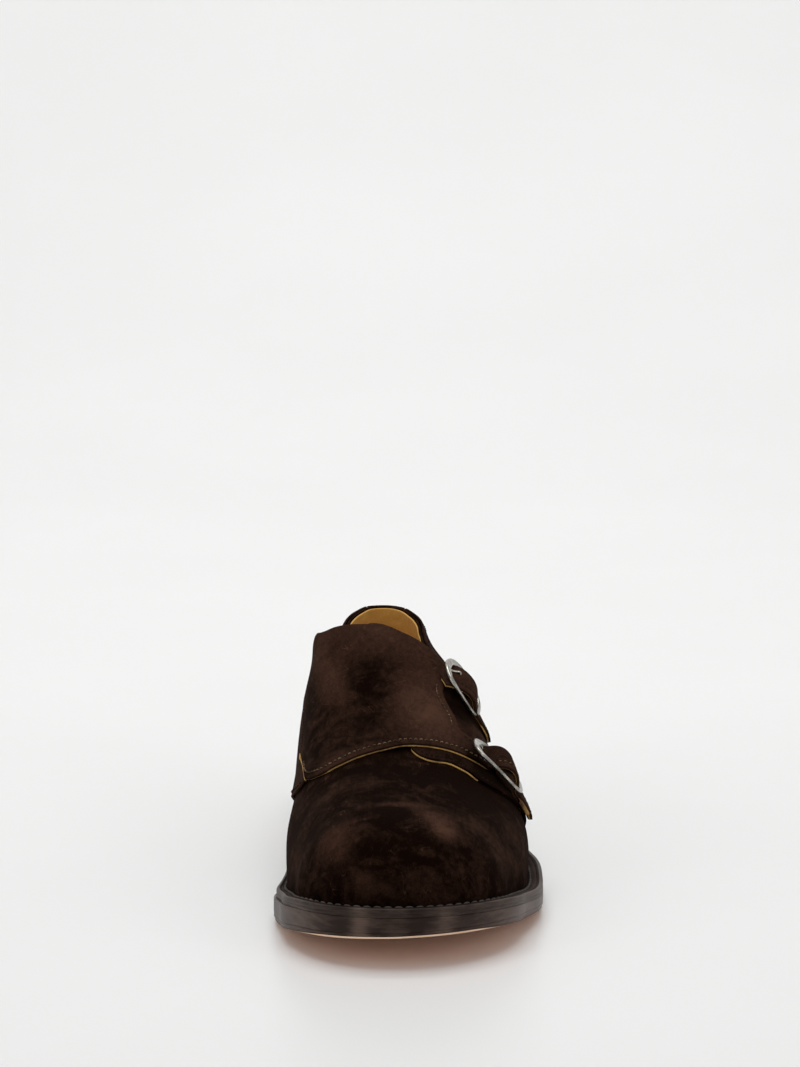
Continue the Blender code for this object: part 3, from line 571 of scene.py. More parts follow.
def finish(name, group, values, bump, depth, own=None):
    # material whose group gives colour, roughness and relief; the even values sit on the shader itself
    made, tree, shader = newMaterial(name)
    look = addNode(tree, "Group", node_tree=group)
    setValues(look.inputs, values)
    tree.links.new(look.outputs["Color"], shader.inputs["Base Color"])
    tree.links.new(look.outputs["Roughness"], shader.inputs["Roughness"])
    addRelief(tree, shader, bump, depth, look.outputs["Height"])
    setValues(shader.inputs, own or {})
    return made


napGroup, grainGroup, burnishGroup = suedeNap(), leatherGrain(), burnish()
suedeSheen = {"Sheen Weight": 0.022, "Sheen Roughness": 0.4, "Sheen Tint": (0.75, 0.42, 0.28, 1),
              "Specular IOR Level": 0.02}
warmGloss = {"Specular Tint": (1, 0.82, 0.74, 1)}
waxed = {**warmGloss, "Coat Weight": 0.03}
dullThread = {"Specular IOR Level": 0.1}
# each finish: its group's values, strength and depth of the relief in millimetres, values on the shader
suede = finish("brownSuede", napGroup, {
    "Dark": (0.0042, 0.0013, 0.0004, 1), "Light": (0.070, 0.0335, 0.0215, 1), "Clouds": 0.75, "Flecks": 0.6,
    "Streaks": 0.6, "Scratches": 0.55}, 0.55, 0.35, suedeSheen)
liningTan = finish("liningTan", napGroup, {
    "Dark": (0.62, 0.32, 0.07, 1), "Light": (0.97, 0.60, 0.18, 1), "Clouds": 1.0, "Flecks": 0.7,
    "Streaks": 0.3}, 0.35, 0.2, {"Sheen Weight": 0.10, "Sheen Roughness": 0.4, "Specular IOR Level": 0.25})
plyTan = finish("plyEdgeTan", grainGroup, {
    "Base": (0.66, 0.38, 0.10, 1), "Stain": (0.10, 0.045, 0.012, 1), "Scale": 1600.0, "Stains": 1.0,
    "Rough": 0.65}, 0.4, 0.15)
sockLeather = finish("sockLeather", grainGroup, {
    "Base": (0.42, 0.235, 0.08, 1), "Stain": (0.24, 0.115, 0.035, 1), "Scale": 1100.0,
    "Rough": 0.5}, 0.3, 0.12)
soleLine = finish("soleNaturalLine", grainGroup, {
    "Base": (0.88, 0.64, 0.46, 1), "Stain": (0.62, 0.40, 0.25, 1), "Scale": 700.0, "Stains": 0.5,
    "Rough": 0.6}, 0.3, 0.1)
soleLeather = finish("soleNatural", grainGroup, {
    "Base": (0.86, 0.44, 0.25, 1), "Stain": (0.66, 0.32, 0.17, 1), "Scale": 700.0, "Stains": 0.5,
    "Rough": 0.45}, 0.3, 0.15, {"Coat Weight": 0.1, "Coat Roughness": 0.35})
edgeLeather = finish("edgeBurnished", burnishGroup, {
    "Base": (0.013, 0.0065, 0.0048, 1), "RubbedAndLit": (0.105, 0.070, 0.056, 1), "Rough": 0.22}, 0.25, 0.12,
    {**waxed, "Coat Roughness": 0.22, "Specular IOR Level": 0.18})
weltLeather = finish("weltLeather", burnishGroup, {
    "Base": (0.011, 0.0060, 0.0045, 1), "RubbedAndLit": (0.095, 0.066, 0.052, 1), "Lines": 0.3,
    "Rough": 0.30}, 0.4, 0.15, {**waxed, "Coat Roughness": 0.3, "Specular IOR Level": 0.2})
weltTop = finish("weltTop", burnishGroup, {
    "Base": (0.008, 0.0045, 0.0034, 1), "RubbedAndLit": (0.050, 0.033, 0.026, 1), "Lines": 0.3,
    "Rough": 0.5}, 0.4, 0.15, {**warmGloss, "Specular IOR Level": 0.05})
heelLeather = finish("heelStack", burnishGroup, {
    "Base": (0.028, 0.019, 0.015, 1), "RubbedAndLit": (0.065, 0.045, 0.036, 1), "Lines": 1.2,
    "Rough": 0.24}, 0.35, 0.15, {"Coat Weight": 0.3, "Coat Roughness": 0.25})
rubber = finish("heelRubber", grainGroup, {
    "Base": (0.020, 0.019, 0.018, 1), "Stain": (0.045, 0.042, 0.040, 1), "Scale": 1300.0,
    "Rough": 0.6}, 0.5, 0.2)
threadDark = finish("threadDark", burnishGroup, {
    "Base": (0.006, 0.003, 0.002, 1), "RubbedAndLit": (0.030, 0.018, 0.012, 1), "Lines": 1.5,
    "Rough": 0.75}, 0.5, 0.1, dullThread)
threadWorn = finish("threadWorn", burnishGroup, {
    "Base": (0.045, 0.028, 0.017, 1), "RubbedAndLit": (0.42, 0.28, 0.17, 1), "Lines": 2.0,
    "Rough": 0.75}, 0.5, 0.1, dullThread)
threadWelt = finish("threadWelt", burnishGroup, {
    "Base": (0.022, 0.016, 0.013, 1), "RubbedAndLit": (0.11, 0.085, 0.068, 1), "Lines": 1.5,
    "Rough": 0.5}, 0.5, 0.1)


def metalFinish():
    # softly polished nickel gone grey: fine scratches, cloudy tarnish and dark spots
    made, tree, shader = newMaterial("greyNickel")
    place = objectPlace(tree)
    clouds = noise(tree, place, "nickelClouds")
    spots = noise(tree, place, "nickelSpots")
    hair = noise(tree, stretched(tree, place, (0.4, 0.9, 0.2), (1.0, 0.06, 1.0)), "nickelHair")
    colour = mixed(tree, ramp(tree, clouds, 0.38, 0.68), (0.50, 0.48, 0.43, 1), (0.22, 0.205, 0.17, 1))
    colour = mixed(tree, ramp(tree, spots, 0.60, 0.74, 0.0, 0.7), colour, (0.07, 0.06, 0.05, 1))
    tree.links.new(colour, shader.inputs["Base Color"])
    rough = calc(tree, "MULTIPLY_ADD", clouds, 0.25, calc(tree, "MULTIPLY_ADD", hair, 0.16, 0.08))
    tree.links.new(rough, shader.inputs["Roughness"])
    addRelief(tree, shader, 0.2, 0.1, calc(tree, "MULTIPLY_ADD", hair, 0.5, clouds))
    shader.inputs["Metallic"].default_value = 1.0
    return made


nickel = metalFinish()
print("materials ready:", len(bpy.data.materials))

# Upper and lining

upperShape = {
    "steps": 56, "suede": 1.2, "lining": 0.75, "between": 0.04, "rounding": 0.38, "liningRounding": 0.2,
    "liningDrop": 0.7, "throatDrop": 0.012,  # below the collar; share of the section per millimetre of it
    "footDrop": 0.9,  # down into the welt's trench
    "tone": -0.47, "backTone": -0.55, "backToneRows": (12.6, 13.8),  # the lining is darker at the back
}
# brushed marks in the nap, with painted light and shade among them: row and q on the last, length and width
# in millimetres, turn, tone. The band at (3.25, 1.03) over the toe's crest is partly painted highlight;
# (1.30, 1.70) is painted shade low on the toe's front, and (5.00, 1.45), (5.42, 1.56), (5.9, 1.42) and
# (6.82, 1.41) are painted shadows beside and under the straps and buckles
vampNapAndPaintedLight = [
    (3.25, 1.03, 3.2, 15, 4, 0.70), (2.75, 1.20, 5, 9, -35, 0.50), (2.10, 1.33, 6, 9, -50, 0.75),
    (2.35, 1.27, 9, 14, -45, 0.22), (1.90, 0.58, 8, 9, 20, 0.60), (1.45, 0.45, 12, 10, 20, 0.25),
    (4.15, 0.66, 7, 11, -20, 0.25), (3.40, 0.22, 10, 7, 0, 0.40), (0.50, 0.20, 8, 6, 0, 0.40),
    (3.40, 1.76, 12, 8, 0, 0.32), (4.30, 1.66, 14, 7, -10, 0.20), (3.20, 1.35, 6, 4, -40, 0.25),
    (1.50, 1.00, 14, 14, 0, -0.22), (4.55, 1.15, 12, 30, 0, -0.35), (5.00, 1.45, 14, 12, 0, -0.35),
    (1.30, 1.70, 12, 10, 0, -0.12), (5.42, 1.56, 9, 20, 0, -1.0), (6.82, 1.41, 4.5, 9, 0, -1.0),
    (5.9, 1.42, 5, 6, 0, -0.6), (8.6, 0.35, 26, 16, 10, 0.25), (9.8, 0.5, 22, 12, -10, -0.2),
    (8.8, 1.65, 24, 14, -8, 0.25), (10.2, 1.5, 20, 12, 10, -0.2), (12.5, 0.4, 18, 12, 0, 0.22),
    (12.6, 1.6, 16, 12, 0, 0.2),
]


def footRing():
    # rows and sides round the whole foot, with closer steps at the throat
    oneSide = np.concatenate([np.linspace(0, 6.6, 94, endpoint=False),
                              np.linspace(6.6, 8.2, 36, endpoint=False), np.linspace(8.2, lastRow, 84)])
    return (np.concatenate([oneSide, oneSide[-2:0:-1]]),
            np.r_[-np.ones(len(oneSide)), np.ones(len(oneSide) - 2)])


def wallGrid(drop=0.0):
    # wall lines from the foot to the ridge, throat or collar: the row shifts with the square of the share
    footRow, side = footRing()
    innerRow, innerUp = wallTop(footRow, -1, -drop)
    outerRow, outerUp = wallTop(footRow, 1, -drop)
    topRow, up = np.where(side < 0, innerRow, outerRow), np.where(side < 0, innerUp, outerUp)
    inThroat = smoothStep(footRow, throatFeet[0], throatFeet[1]) * (footRow < throatFeet[-1])
    up = up - upperShape["throatDrop"] * drop * inThroat
    v = np.linspace(0, 1, upperShape["steps"])[:, None]
    return footRow + (topRow - footRow) * v**2, np.where(side < 0, up * v, 2 - up * v)


def makeUpper():
    # suede shell on the last and the lining inside it, both thickened inwards
    row, q = wallGrid()
    grid = lastPoint(row, q)
    # the tone carries the nap's marks with their painted highlight, painted shade and painted shadows
    tone = bells(grid, vampNapAndPaintedLight) + upperShape["tone"]
    grid = np.concatenate([grid[:1] - (0, 0, upperShape["footDrop"]), grid])
    addGrid("upperSuede", grid, suede, "upper_suede", ["upper"], True, tone=np.concatenate([tone[:1], tone]),
            wall=(upperShape["suede"], False, upperShape["rounding"]))
    row, q = wallGrid(upperShape["liningDrop"])
    grid = lastPoint(row, q, -upperShape["suede"] - upperShape["between"])
    addGrid("upperLining", grid, liningTan, "lining", wrap=True,
            tone=upperShape["backTone"] * smoothStep(row, *upperShape["backToneRows"]),
            wall=(upperShape["lining"], False, upperShape["liningRounding"]))


makeUpper()
print("upper ready")

# Quarters and backstay

quarters = {
    "outer": {"side": 1, "foot": (6.60, 7.00, 7.40, 7.75), "top": (5.40, 6.20, 7.10, 7.78),
              "up": (0.88, 0.87, 0.81, 0.66), "bow": (0.70, 0.45, 0.20, 0.0), "bowAt": 1,
              "plyReach": 0.8, "plyBack": 0.25, "plyBare": (0.62, 0.66)},  # bare at the top of the edge only
    "inner": {"side": -1, "foot": (7.70, 7.80, 7.90, 8.05, 8.20, 8.33, 8.45),
              "top": (5.40, 5.90, 6.25, 6.68, 7.86, 8.18, 8.45),
              "up": (0.505, 0.478, 0.443, 0.398, 0.398, 0.515, 0.640),
              "bow": (0.40, 0.30, 0.20, 0.10, 0, 0, 0), "bowAt": 2,
              "plyReach": 0.45, "plyBack": 0.30, "plyBare": (2, 3)},  # bare nowhere
    "lift": 0.62, "thickness": 0.93, "rounding": 0.3, "plyLift": 0.15, "ply": 0.45, "plyShow": 0.012,
    "plyRounding": 0.1, "rawEdge": (0.25, 0.62), "topDrop": 0.25, "footGap": 0.012, "tone": -0.18,
    "backRow": 13.41, "columns": 130, "crowding": 1.25, "steps": 90, "stitchIn": 2.6,
    "wave": ((0, 0.42, 0.65, 0.72, 0.80, 0.835, 0.87, 0.90, 0.933, 0.965, 0.983, 1.0),
             (0, 0.02, 0.085, 0.016, 0.025, 0.065, 0.141, 0.193, 0.222, 0.198, 0.156, 0.054)),
}
backstay = {"row": 13.44, "columns": 26, "steps": 60, "lift": 0.3, "thickness": 1.3, "rounding": 0.4,
            "stitchIn": 2.0}


def quarterPlace(shape, footRow, v):
    # row and q of a quarter's wall line: straight from foot to top, less a bow towards the toe
    foot, side = shape["foot"], shape["side"]
    behind = collarFeet > foot[-1] + 0.1
    feet, tops = np.r_[foot, collarFeet[behind]], np.r_[shape["top"], collarTops[behind]]
    before = shape["top"][0] + (footRow - foot[0]) * 2
    topRow = np.where(footRow < foot[0], before, throughPoints(footRow, feet, tops))
    up = np.where(footRow <= foot[-1], throughPoints(footRow, foot, shape["up"]),
                  collarUp(topRow, side, -quarters["topDrop"]))
    bow = throughPoints(footRow, foot, shape["bow"])
    row = footRow + (topRow - footRow) * v - bow * np.sin(math.pi * v ** shape["bowAt"])
    if side > 0:  # the outer front edge waves as it leaves the panel
        near = 1 - smoothStep(footRow, foot[0], foot[0] + 0.5)
        row = row - near * throughPoints(v, *quarters["wave"])
    return row, np.where(side < 0, up * v, 2 - up * v)


def inset(grid, normals, distance, ends=(0.0, 0.0)):
    # path at an even distance inside the edge that is the grid's first row: along each grid line,
    # longer where the line leans; the path is trimmed by a length at either end
    steps = np.linalg.norm(np.diff(grid, axis=0), axis=-1)
    gone = np.concatenate([np.zeros((1, grid.shape[1])), np.cumsum(steps, axis=0)])
    lean = (unit(grid[2] - grid[0]) * unit(np.gradient(grid[0], axis=0))).sum(-1)
    want = distance / np.sqrt(np.clip(1 - lean**2, 0.2, 1))
    low = np.clip((gone < want).sum(0) - 1, 0, len(steps) - 1)
    column = np.arange(grid.shape[1])
    f = ((want - gone[low, column]) / steps[low, column])[:, None]
    path = grid[low, column] + (grid[low + 1, column] - grid[low, column]) * f
    along = lengthsAlong(path)
    at = np.linspace(ends[0], along[-1] - ends[1], max(8, int(along[-1])))
    return readAlong(at, along, path), unit(readAlong(at, along, normals[low, column]))


def throughSeams(name, runs):
    # a piece of dark stitches along some runs: grid, normals, distance inside the edge, ends left free
    sew(name, [stitches(*inset(*run)) for run in runs], threadDark)


def makeQuarter(name, shape):
    # suede, ply and stitches on the quarter's wall lines, at their heights over the last
    side, ahead = shape["side"], shape["foot"][0]
    label, outwards = f"quarter{name.title()}", (side, 0, 0.35)
    share = np.linspace(0, 1, quarters["columns"])
    footRow = ahead + (quarters["backRow"] - ahead) * share ** quarters["crowding"]
    v = np.linspace(quarters["footGap"], 1, quarters["steps"])[:, None]
    row, q = quarterPlace(shape, footRow, v)
    grid = lastPoint(row, q, quarters["lift"])
    # its tone carries the vamp list's painted shadows too, such as the one under the front strap
    addGrid(f"{label}Suede", grid, suede, "upper_suede", [f"quarter_{name}"],
            tone=bells(grid, vampNapAndPaintedLight) + quarters["tone"], towards=outwards,
            wall=(quarters["thickness"], True, quarters["rounding"]))
    plyRow = np.linspace(ahead - quarters["plyShow"], ahead + shape["plyReach"], 20)
    plyRow, plyQ = quarterPlace(shape, plyRow, v)
    plyRow = plyRow + shape["plyBack"] * (1 - smoothStep(v, *shape["plyBare"]))
    addGrid(f"{label}Ply", lastPoint(plyRow, plyQ, quarters["plyLift"]), plyTan, "lining", towards=outwards,
            wall=(quarters["ply"], True, quarters["plyRounding"]))
    if side < 0:  # its raw top edge shows beside the panel
        edgeRow, edgeQ = quarterPlace(shape, np.linspace(ahead - 0.01, shape["foot"][3], 60), np.ones(60))
        edge = lastPoint(edgeRow, edgeQ, quarters["lift"] + quarters["rawEdge"][1])
        bead = rods(edge[None], wallNormal(edgeRow, edgeQ)[None], *quarters["rawEdge"], 10)
        addPiece(f"{label}RawEdge", *bead, [plyTan], "lining")
    top, normals = lastPoint(row, q, quarters["lift"] + quarters["thickness"]), wallNormal(row, q)
    behind = footRow > shape["foot"][-1] + 0.4
    throughSeams(f"{label}Stitches", (
        (top.swapaxes(0, 1), normals.swapaxes(0, 1), quarters["stitchIn"], (2, 2)),
        (top[::-1, behind], normals[::-1, behind], quarters["stitchIn"], (1, 2))))


def makeBackstay():
    # strip over the back seam: wall lines of both sides near the heel, from the foot to the collar
    half = np.linspace(backstay["row"], lastRow, backstay["columns"])
    row = np.r_[half, half[-2::-1]]
    side = np.where(np.arange(len(row)) < len(half), -1, 1)
    up = np.where(side < 0, *(collarUp(row, hand, -quarters["topDrop"]) for hand in (-1, 1)))
    up = up * np.linspace(quarters["footGap"], 1, backstay["steps"])[:, None]
    q = np.where(side < 0, up, 2 - up)
    row = np.broadcast_to(row, q.shape)
    grid = lastPoint(row, q, backstay["lift"])
    addGrid("backstaySuede", grid, suede, "upper_suede", ["backstay"],
            tone=bells(grid, vampNapAndPaintedLight) + quarters["tone"], towards=(0, 1, 0),
            wall=(backstay["thickness"], True, backstay["rounding"]))
    top, normals = lastPoint(row, q, backstay["lift"] + backstay["thickness"]), wallNormal(row, q)
    throughSeams("backstayStitches", [(g.swapaxes(0, 1), n.swapaxes(0, 1), backstay["stitchIn"], (3, 3))
                                      for g, n in ((top, normals), (top[:, ::-1], normals[:, ::-1]))])


for which in ("outer", "inner"):
    makeQuarter(which, quarters[which])
makeBackstay()
print("quarters ready")

# Tongue

tongue = {
    "frontY": -8.0, "q": (0.64, 0.77, 0.90, 1.0, 1.14, 1.30, 1.36), "topY": (27, 30, 30, 28.5, 23.5, 21, 19),
    "halfQ": 0.36, "lift": -2.7, "thickness": 1.8, "rounding": 0.4,
}


def makeTongue():
    # lies inside the upper, from its front line to the top edge
    share = np.linspace(0, 1, 40)[:, None]
    q = 1 + tongue["halfQ"] * np.linspace(-1, 1, 70)
    y = tongue["frontY"] + (throughPoints(q, tongue["q"], tongue["topY"]) - tongue["frontY"]) * share
    addGrid("tongueSuede", lastPoint(rowOf(y), q, tongue["lift"]), suede, "upper_suede", ["tongue"],
            towards=(0, 0, 1), wall=(tongue["thickness"], False, tongue["rounding"]))


makeTongue()

# Panel with its two straps

panel = {
    "q": (0.40, 0.45, 0.485, 0.51, 0.58, 0.65, 0.70, 0.77, 0.90, 1.00, 1.14, 1.30, 1.38, 1.48, 1.60, 1.90),
    "frontY": (-4, -15, -26, -39.5, -46.5, -50, -51, -51, -48.5, -45, -40.5, -36.8, -35.9, -35, -35.1, -38),
    "frontStrapY": (4, -3, -9, -13, -15, -16, -17, -18, -19, -19, -18, -18.5, -18.8, -20, -20.5, -22.8),
    "rearStrapY": (15, 19, 20, 20, 20, 20, 18, 15, 10, 7, 5, 5, 6.1, 7.3, 6.6, 2),
    "topY": (29.5, 33.3, 36, 37.6, 42.4, 45.3, 40.9, 37.0, 32.4, 31.0, 26.2, 24.8, 22.2, 21.0, 20, 17),
    "innerQ": 0.40, "flare": 2.4, "flareAt": (0.65, 45), "flareSize": (0.09, 9),
    "notchAt": (0, 0.4, 0.6, 1.0), "notchQ": (1.34, 1.34, 1.30, 1.30), "notchRound": 0.015,
    "rows": (26, 30, 26), "columns": 120, "strapColumns": 64, "raise": (0.96, 1.10), "endRound": 0.030,
    "lift": 0.2, "quarterLift": 1.75, "ply": 0.55, "suede": 1.15, "rounding": 0.4, "plyRounding": 0.12,
    # the ply stands out by plyShow times the factors along the front edge and the rear strap's lower edge
    "plyShow": 0.3,
    "showAt": ((0.50, 0.52, 0.65, 0.71, 1.45, 1.47, 1.66, 1.68), (4.5, -1, -1, 1, 1, -1, -1, 2.6)),
    "rearFrom": 1.2, "rearShowAt": ((1.31, 1.315, 1.365, 1.375, 1.555, 1.565), (-1, 1, 1, -1, -1, 2.2)),
    "bareFrom": 1.675, "bareLift": 0.15, "bareSize": (0.4, 0.85),  # raw edge of the front strap's end
    # seams with the lengths left free at their two ends; the leather is pulled in along them
    "seamIn": 3.1, "pull": 0.16, "pullWide": 0.8, "thin": 0.22, "thinWide": 0.9,
    "lightSeams": {"front": (24.5, 24), "notch": (0, 0)},
    "darkSeams": {"inner": (3, 3), "frontUpper": (0, 3), "rearLower": (0, 3), "frontEnd": (3, 3),
                  "rearEnd": (3, 3)},
    "footHeart": (-12.0, 0.0, 40.0),  # a point inside the foot
}
buckles = {
    "rear": {"y": 15.5, "corner": 3.0, "start": 1.345, "end": 1.566, "strapEnd": 1.672, "lean": 0.043,
             "clear": 0.15, "rise": 4.0, "arch": 7.4, "archSpan": 0.93, "peak": 0.0, "skew": 0.0,
             "tilt": 0.09, "turn": (0.12, 0, 0), "shift": (-1.2, 0, 0.1), "hidden": 0.30},
    "front": {"y": -27.6, "corner": 3.6, "start": 1.400, "end": 1.660, "strapEnd": 1.800, "lean": 0.022,
              "clear": 0.15, "rise": 1.9, "arch": 8.0, "archSpan": 0.60, "peak": 0.12, "skew": 0.28,
              "tilt": 0.04, "turn": (-0.04, 0, -0.08), "shift": (-0.3, 0, -0.3), "hidden": 0.62},
    "halfWidth": 11.4, "wire": 0.95, "barWire": 0.8, "barShort": 0.4, "prongWire": 0.75,
    "tabFrom": (-0.3, 0.6), "tabTo": (1.6, 2.1), "humpPowers": (2.4, 1.6),
}
# the folded tab's own sizes: over the bar it is drawn in to free times the way to wrapLow and wrapHigh
tab = {"halfWidth": 7.9, "thick": 0.6, "clear": 0.2, "nose": 2.3, "tail": 9.0, "sink": 0.30,
       "free": (0.8, 4.5), "wrapLow": 0.9, "wrapHigh": 1.0, "thinEdge": 0.35}
strapThick = panel["ply"] + panel["suede"]
onTab = panel["quarterLift"] + tab["thick"] + tab["clear"]
# marks in the panel's nap: row and q on the last, length and width in millimetres, turn, tone; (5.60, 1.43)
# is a painted shadow under the front ring
panelNapAndPaintedShadow = [
    (6.82, 0.99, 16, 14, 0, -0.45), (6.12, 0.97, 14, 13, 0, -0.35), (6.44, 1.17, 12, 10, -20, 0.48),
    (6.05, 1.21, 10, 9, -20, 0.40), (7.30, 0.74, 22, 5, 14, 0.30), (7.62, 1.04, 8, 18, 0, 0.16),
    (6.41, 0.65, 16, 8, 0, 0.12), (5.55, 0.92, 8, 20, 0, -0.10), (7.0, 1.28, 10, 8, 0, 0.1),
    (6.7, 0.8, 20, 7, 25, 0.15), (6.3, 0.52, 50, 8, 0, -0.45), (5.85, 0.66, 12, 12, 0, -0.40),
    (5.45, 0.90, 6, 26, 0, -0.20), (6.9, 0.57, 30, 6, 0, -0.20), (6.45, 0.70, 14, 6, 0, -0.40),
    (5.60, 1.43, 5, 8, 0, -0.8), (6.05, 1.56, 12, 12, 0, -0.30),
]


def panelY(q, level):
    # place along the foot on level 0, the front edge, to 3, the top edge, at q
    edges = np.stack([throughPoints(q, panel["q"], panel[name])
                      for name in ("frontY", "frontStrapY", "rearStrapY", "topY")], -1)
    low = np.clip(np.floor(level).astype(int), 0, 2)
    f = level - low
    return (np.take_along_axis(edges, low[..., None], -1)[..., 0] * (1 - f)
            + np.take_along_axis(edges, low[..., None] + 1, -1)[..., 0] * f)


def buckleAxes(buckle):
    # middle of the frame, its directions along the strap, across it and outwards, and half its length
    row = rowOf(buckle["y"])
    above = strapThick + buckle["clear"] + buckles["wire"]
    start = overWall(row, buckle["start"], panel["quarterLift"] + above + buckle["rise"])
    end = overWall(row, buckle["end"], onTab + above)
    half = np.linalg.norm(end - start) / 2
    along = (end - start) / (2 * half)
    ends = np.array([buckle["start"], buckle["end"]])
    across = (overWall(row + 0.25, ends, 5.0) - overWall(row - 0.25, ends, 5.0)).sum(0)
    across = unit(across) + buckle["turn"]
    across = unit(across - along * (across @ along))
    return (start + end) / 2 + buckle["shift"], along, across, np.cross(along, across), half


def strapLift(row, q, buckle):
    # height of the strap's underside: on the quarter, over the bar in a hump, then on the tab
    middle, along, _, _, half = buckleAxes(buckle)
    station = (overWall(row, q, panel["quarterLift"]) - middle) @ along / half
    onto = smoothStep(station, *buckles["tabFrom"]) * (1 - smoothStep(station, *buckles["tabTo"]))
    base = panel["quarterLift"] + (onTab - panel["quarterLift"]) * onto
    aside = wallPoint(row, q)[..., 1] - buckle["y"]
    turned = station - buckle["peak"] + buckle["skew"] * aside / buckles["halfWidth"]
    blunt, steep = buckles["humpPowers"]
    hump = (1 - np.minimum(np.abs(turned) / buckle["archSpan"], 1) ** blunt) ** steep
    arch = buckle["arch"] + buckle["tilt"] * aside
    return base + (arch - (panel["quarterLift"] + onTab) / 2) * hump


def panelGrids(show=0.0):
    # the panel as three grids that share their edges: body, front strap and rear strap, each as
    # (q, level, lift). show moves the front edges out by a length
    rows = panel["rows"]
    levels = np.concatenate([np.linspace(k, k + 1, rows[k])[k > 0:] for k in range(3)])
    notch = throughPoints(levels / 3, panel["notchAt"], panel["notchQ"])
    bend = np.where((levels > 1) & (levels < 2), np.abs(2 * levels - 3) ** 8, 1)
    notch = notch + panel["notchRound"] * bend
    share = np.linspace(0, 1, panel["columns"])[:, None]
    body = panel["innerQ"] + (notch - panel["innerQ"]) * share
    lift = panel["lift"] + (panel["quarterLift"] - panel["lift"]) * smoothStep(body, *panel["raise"])
    # the top corner on the inner side stands away from the foot
    away = [(place - at) / size for place, at, size in zip((body, panelY(body, levels + 0 * body)),
                                                           panel["flareAt"], panel["flareSize"])]
    lift = lift + panel["flare"] * np.exp(-away[0] ** 2 - away[1] ** 2)
    grids = [(body, np.broadcast_to(levels, body.shape), lift)]
    for name, part in (("front", slice(0, rows[0])), ("rear", slice(-rows[2], None))):
        own = levels[part]
        across = 2 * (own - own[0]) / (own[-1] - own[0]) - 1
        end = buckles[name]["strapEnd"] + buckles[name]["lean"] * across
        end = end - panel["endRound"] * np.abs(across) ** 5
        q = notch[part] + (end - notch[part]) * np.linspace(0, 1, panel["strapColumns"])[:, None]
        own = np.broadcast_to(own, q.shape)
        grids.append((q, own, strapLift(rowOf(panelY(q, own)), q, buckles[name])))
    placed = []
    for q, level, lift in grids:
        rear = (level == 2) * (q > panel["rearFrom"]) * np.interp(q, *panel["rearShowAt"])
        factor = np.where(level == 0, np.interp(q, *panel["showAt"]), rear)
        placed.append((rowOf(panelY(q, level) - show * factor), q, lift))
    return placed


def edgeDistance(points, rim):
    # distance of each point from the nearest of the rim's points, worked in slices
    flat = points.reshape(-1, 3)
    return np.concatenate([np.sqrt(((part[:, None] - rim[None]) ** 2).sum(-1).min(1))
                           for part in np.array_split(flat, 40)]).reshape(points.shape[:-1])


def panelRim(grids):
    # the rim of the panel and straps, as runs of (grid lines that lead inwards from the edge)
    rows = panel["rows"]
    (body, front, rear) = grids
    middle = slice(rows[0] - 1, rows[0] + rows[1] - 1)
    frontRun = np.concatenate([body[:, :rows[0]], front[1:]])
    topRun = np.concatenate([body[:, -rows[2]:], rear[1:]])[:, ::-1]
    return {
        "front": frontRun.swapaxes(0, 1), "top": topRun.swapaxes(0, 1), "inner": body,
        "notch": body[::-1, middle], "frontUpper": front[:, ::-1].swapaxes(0, 1),
        "rearLower": rear.swapaxes(0, 1), "frontEnd": front[::-1], "rearEnd": rear[::-1],
    }


def pressed(distance):
    # how deep a seam pulls the leather in, at a distance from the edge, and how the cut edge thins:
    # each exp of minus the squared distance over a width
    pull = -panel["pull"] * np.exp(-((distance - panel["seamIn"]) / panel["pullWide"]) ** 2)
    return pull - panel["thin"] * np.exp(-((distance / panel["thinWide"]) ** 2))


def makePanel():
    # suede at ply height less the pressed-in seams, the ply under it, the raw end and the seams
    grids = panelGrids()
    tops = [lastPoint(*place) for place in grids]
    rim = np.concatenate([run[0] for run in panelRim(tops).values()])
    parts = []
    for (row, q, lift), grid in zip(grids, tops):
        dip = pressed(edgeDistance(grid, rim))
        parts.append((lastPoint(row, q, lift + panel["ply"] + dip), gridFaces(*grid.shape[:2])))
    # its tone carries the panel's nap marks and the painted shadow under the front ring
    addPiece("strapPanelSuede", *joined(parts), [suede], "upper_suede", ["strap_panel"], towards=(0, 0, 1),
             tone=np.concatenate([bells(grid, panelNapAndPaintedShadow).ravel() for grid in tops]),
             wall=(panel["suede"], True, panel["rounding"]))
    grown = panelGrids(panel["plyShow"])
    under = [(lastPoint(*place), gridFaces(*place[0].shape)) for place in grown]
    addPiece("strapPanelPly", *joined(under), [plyTan], "lining", towards=(0, 0, 1),
             wall=(panel["ply"], True, panel["plyRounding"]))
    row, q, lift = (part[:, 0] for part in grown[1])
    bare = q > panel["bareFrom"]
    edge = lastPoint(row, q, lift + panel["bareLift"])[bare]
    bead = rods(edge[None], wallNormal(row, q)[bare][None], *panel["bareSize"], 10)
    addPiece("strapPanelRawEdge", *bead, [plyTan], "lining")
    runs = panelRim([lastPoint(row, q, lift + panel["ply"] + panel["suede"]) for row, q, lift in grids])

    def seams(wanted, proud):
        sewn = []
        for name, ends in wanted.items():
            run = runs[name]
            normals = surfaceNormals(run)
            away = (normals * (run - panel["footHeart"]) * (1, 0, 1)).sum()
            sewn.append(stitches(*inset(run, normals * np.sign(away), panel["seamIn"], ends), proud=proud))
        return sewn

    sew("strapPanelStitches", seams(panel["darkSeams"], 0.2), threadDark)
    sew("strapPanelFrontStitches", seams(panel["lightSeams"], 1.0), threadWorn)


makePanel()
print("panel ready")

# Buckles

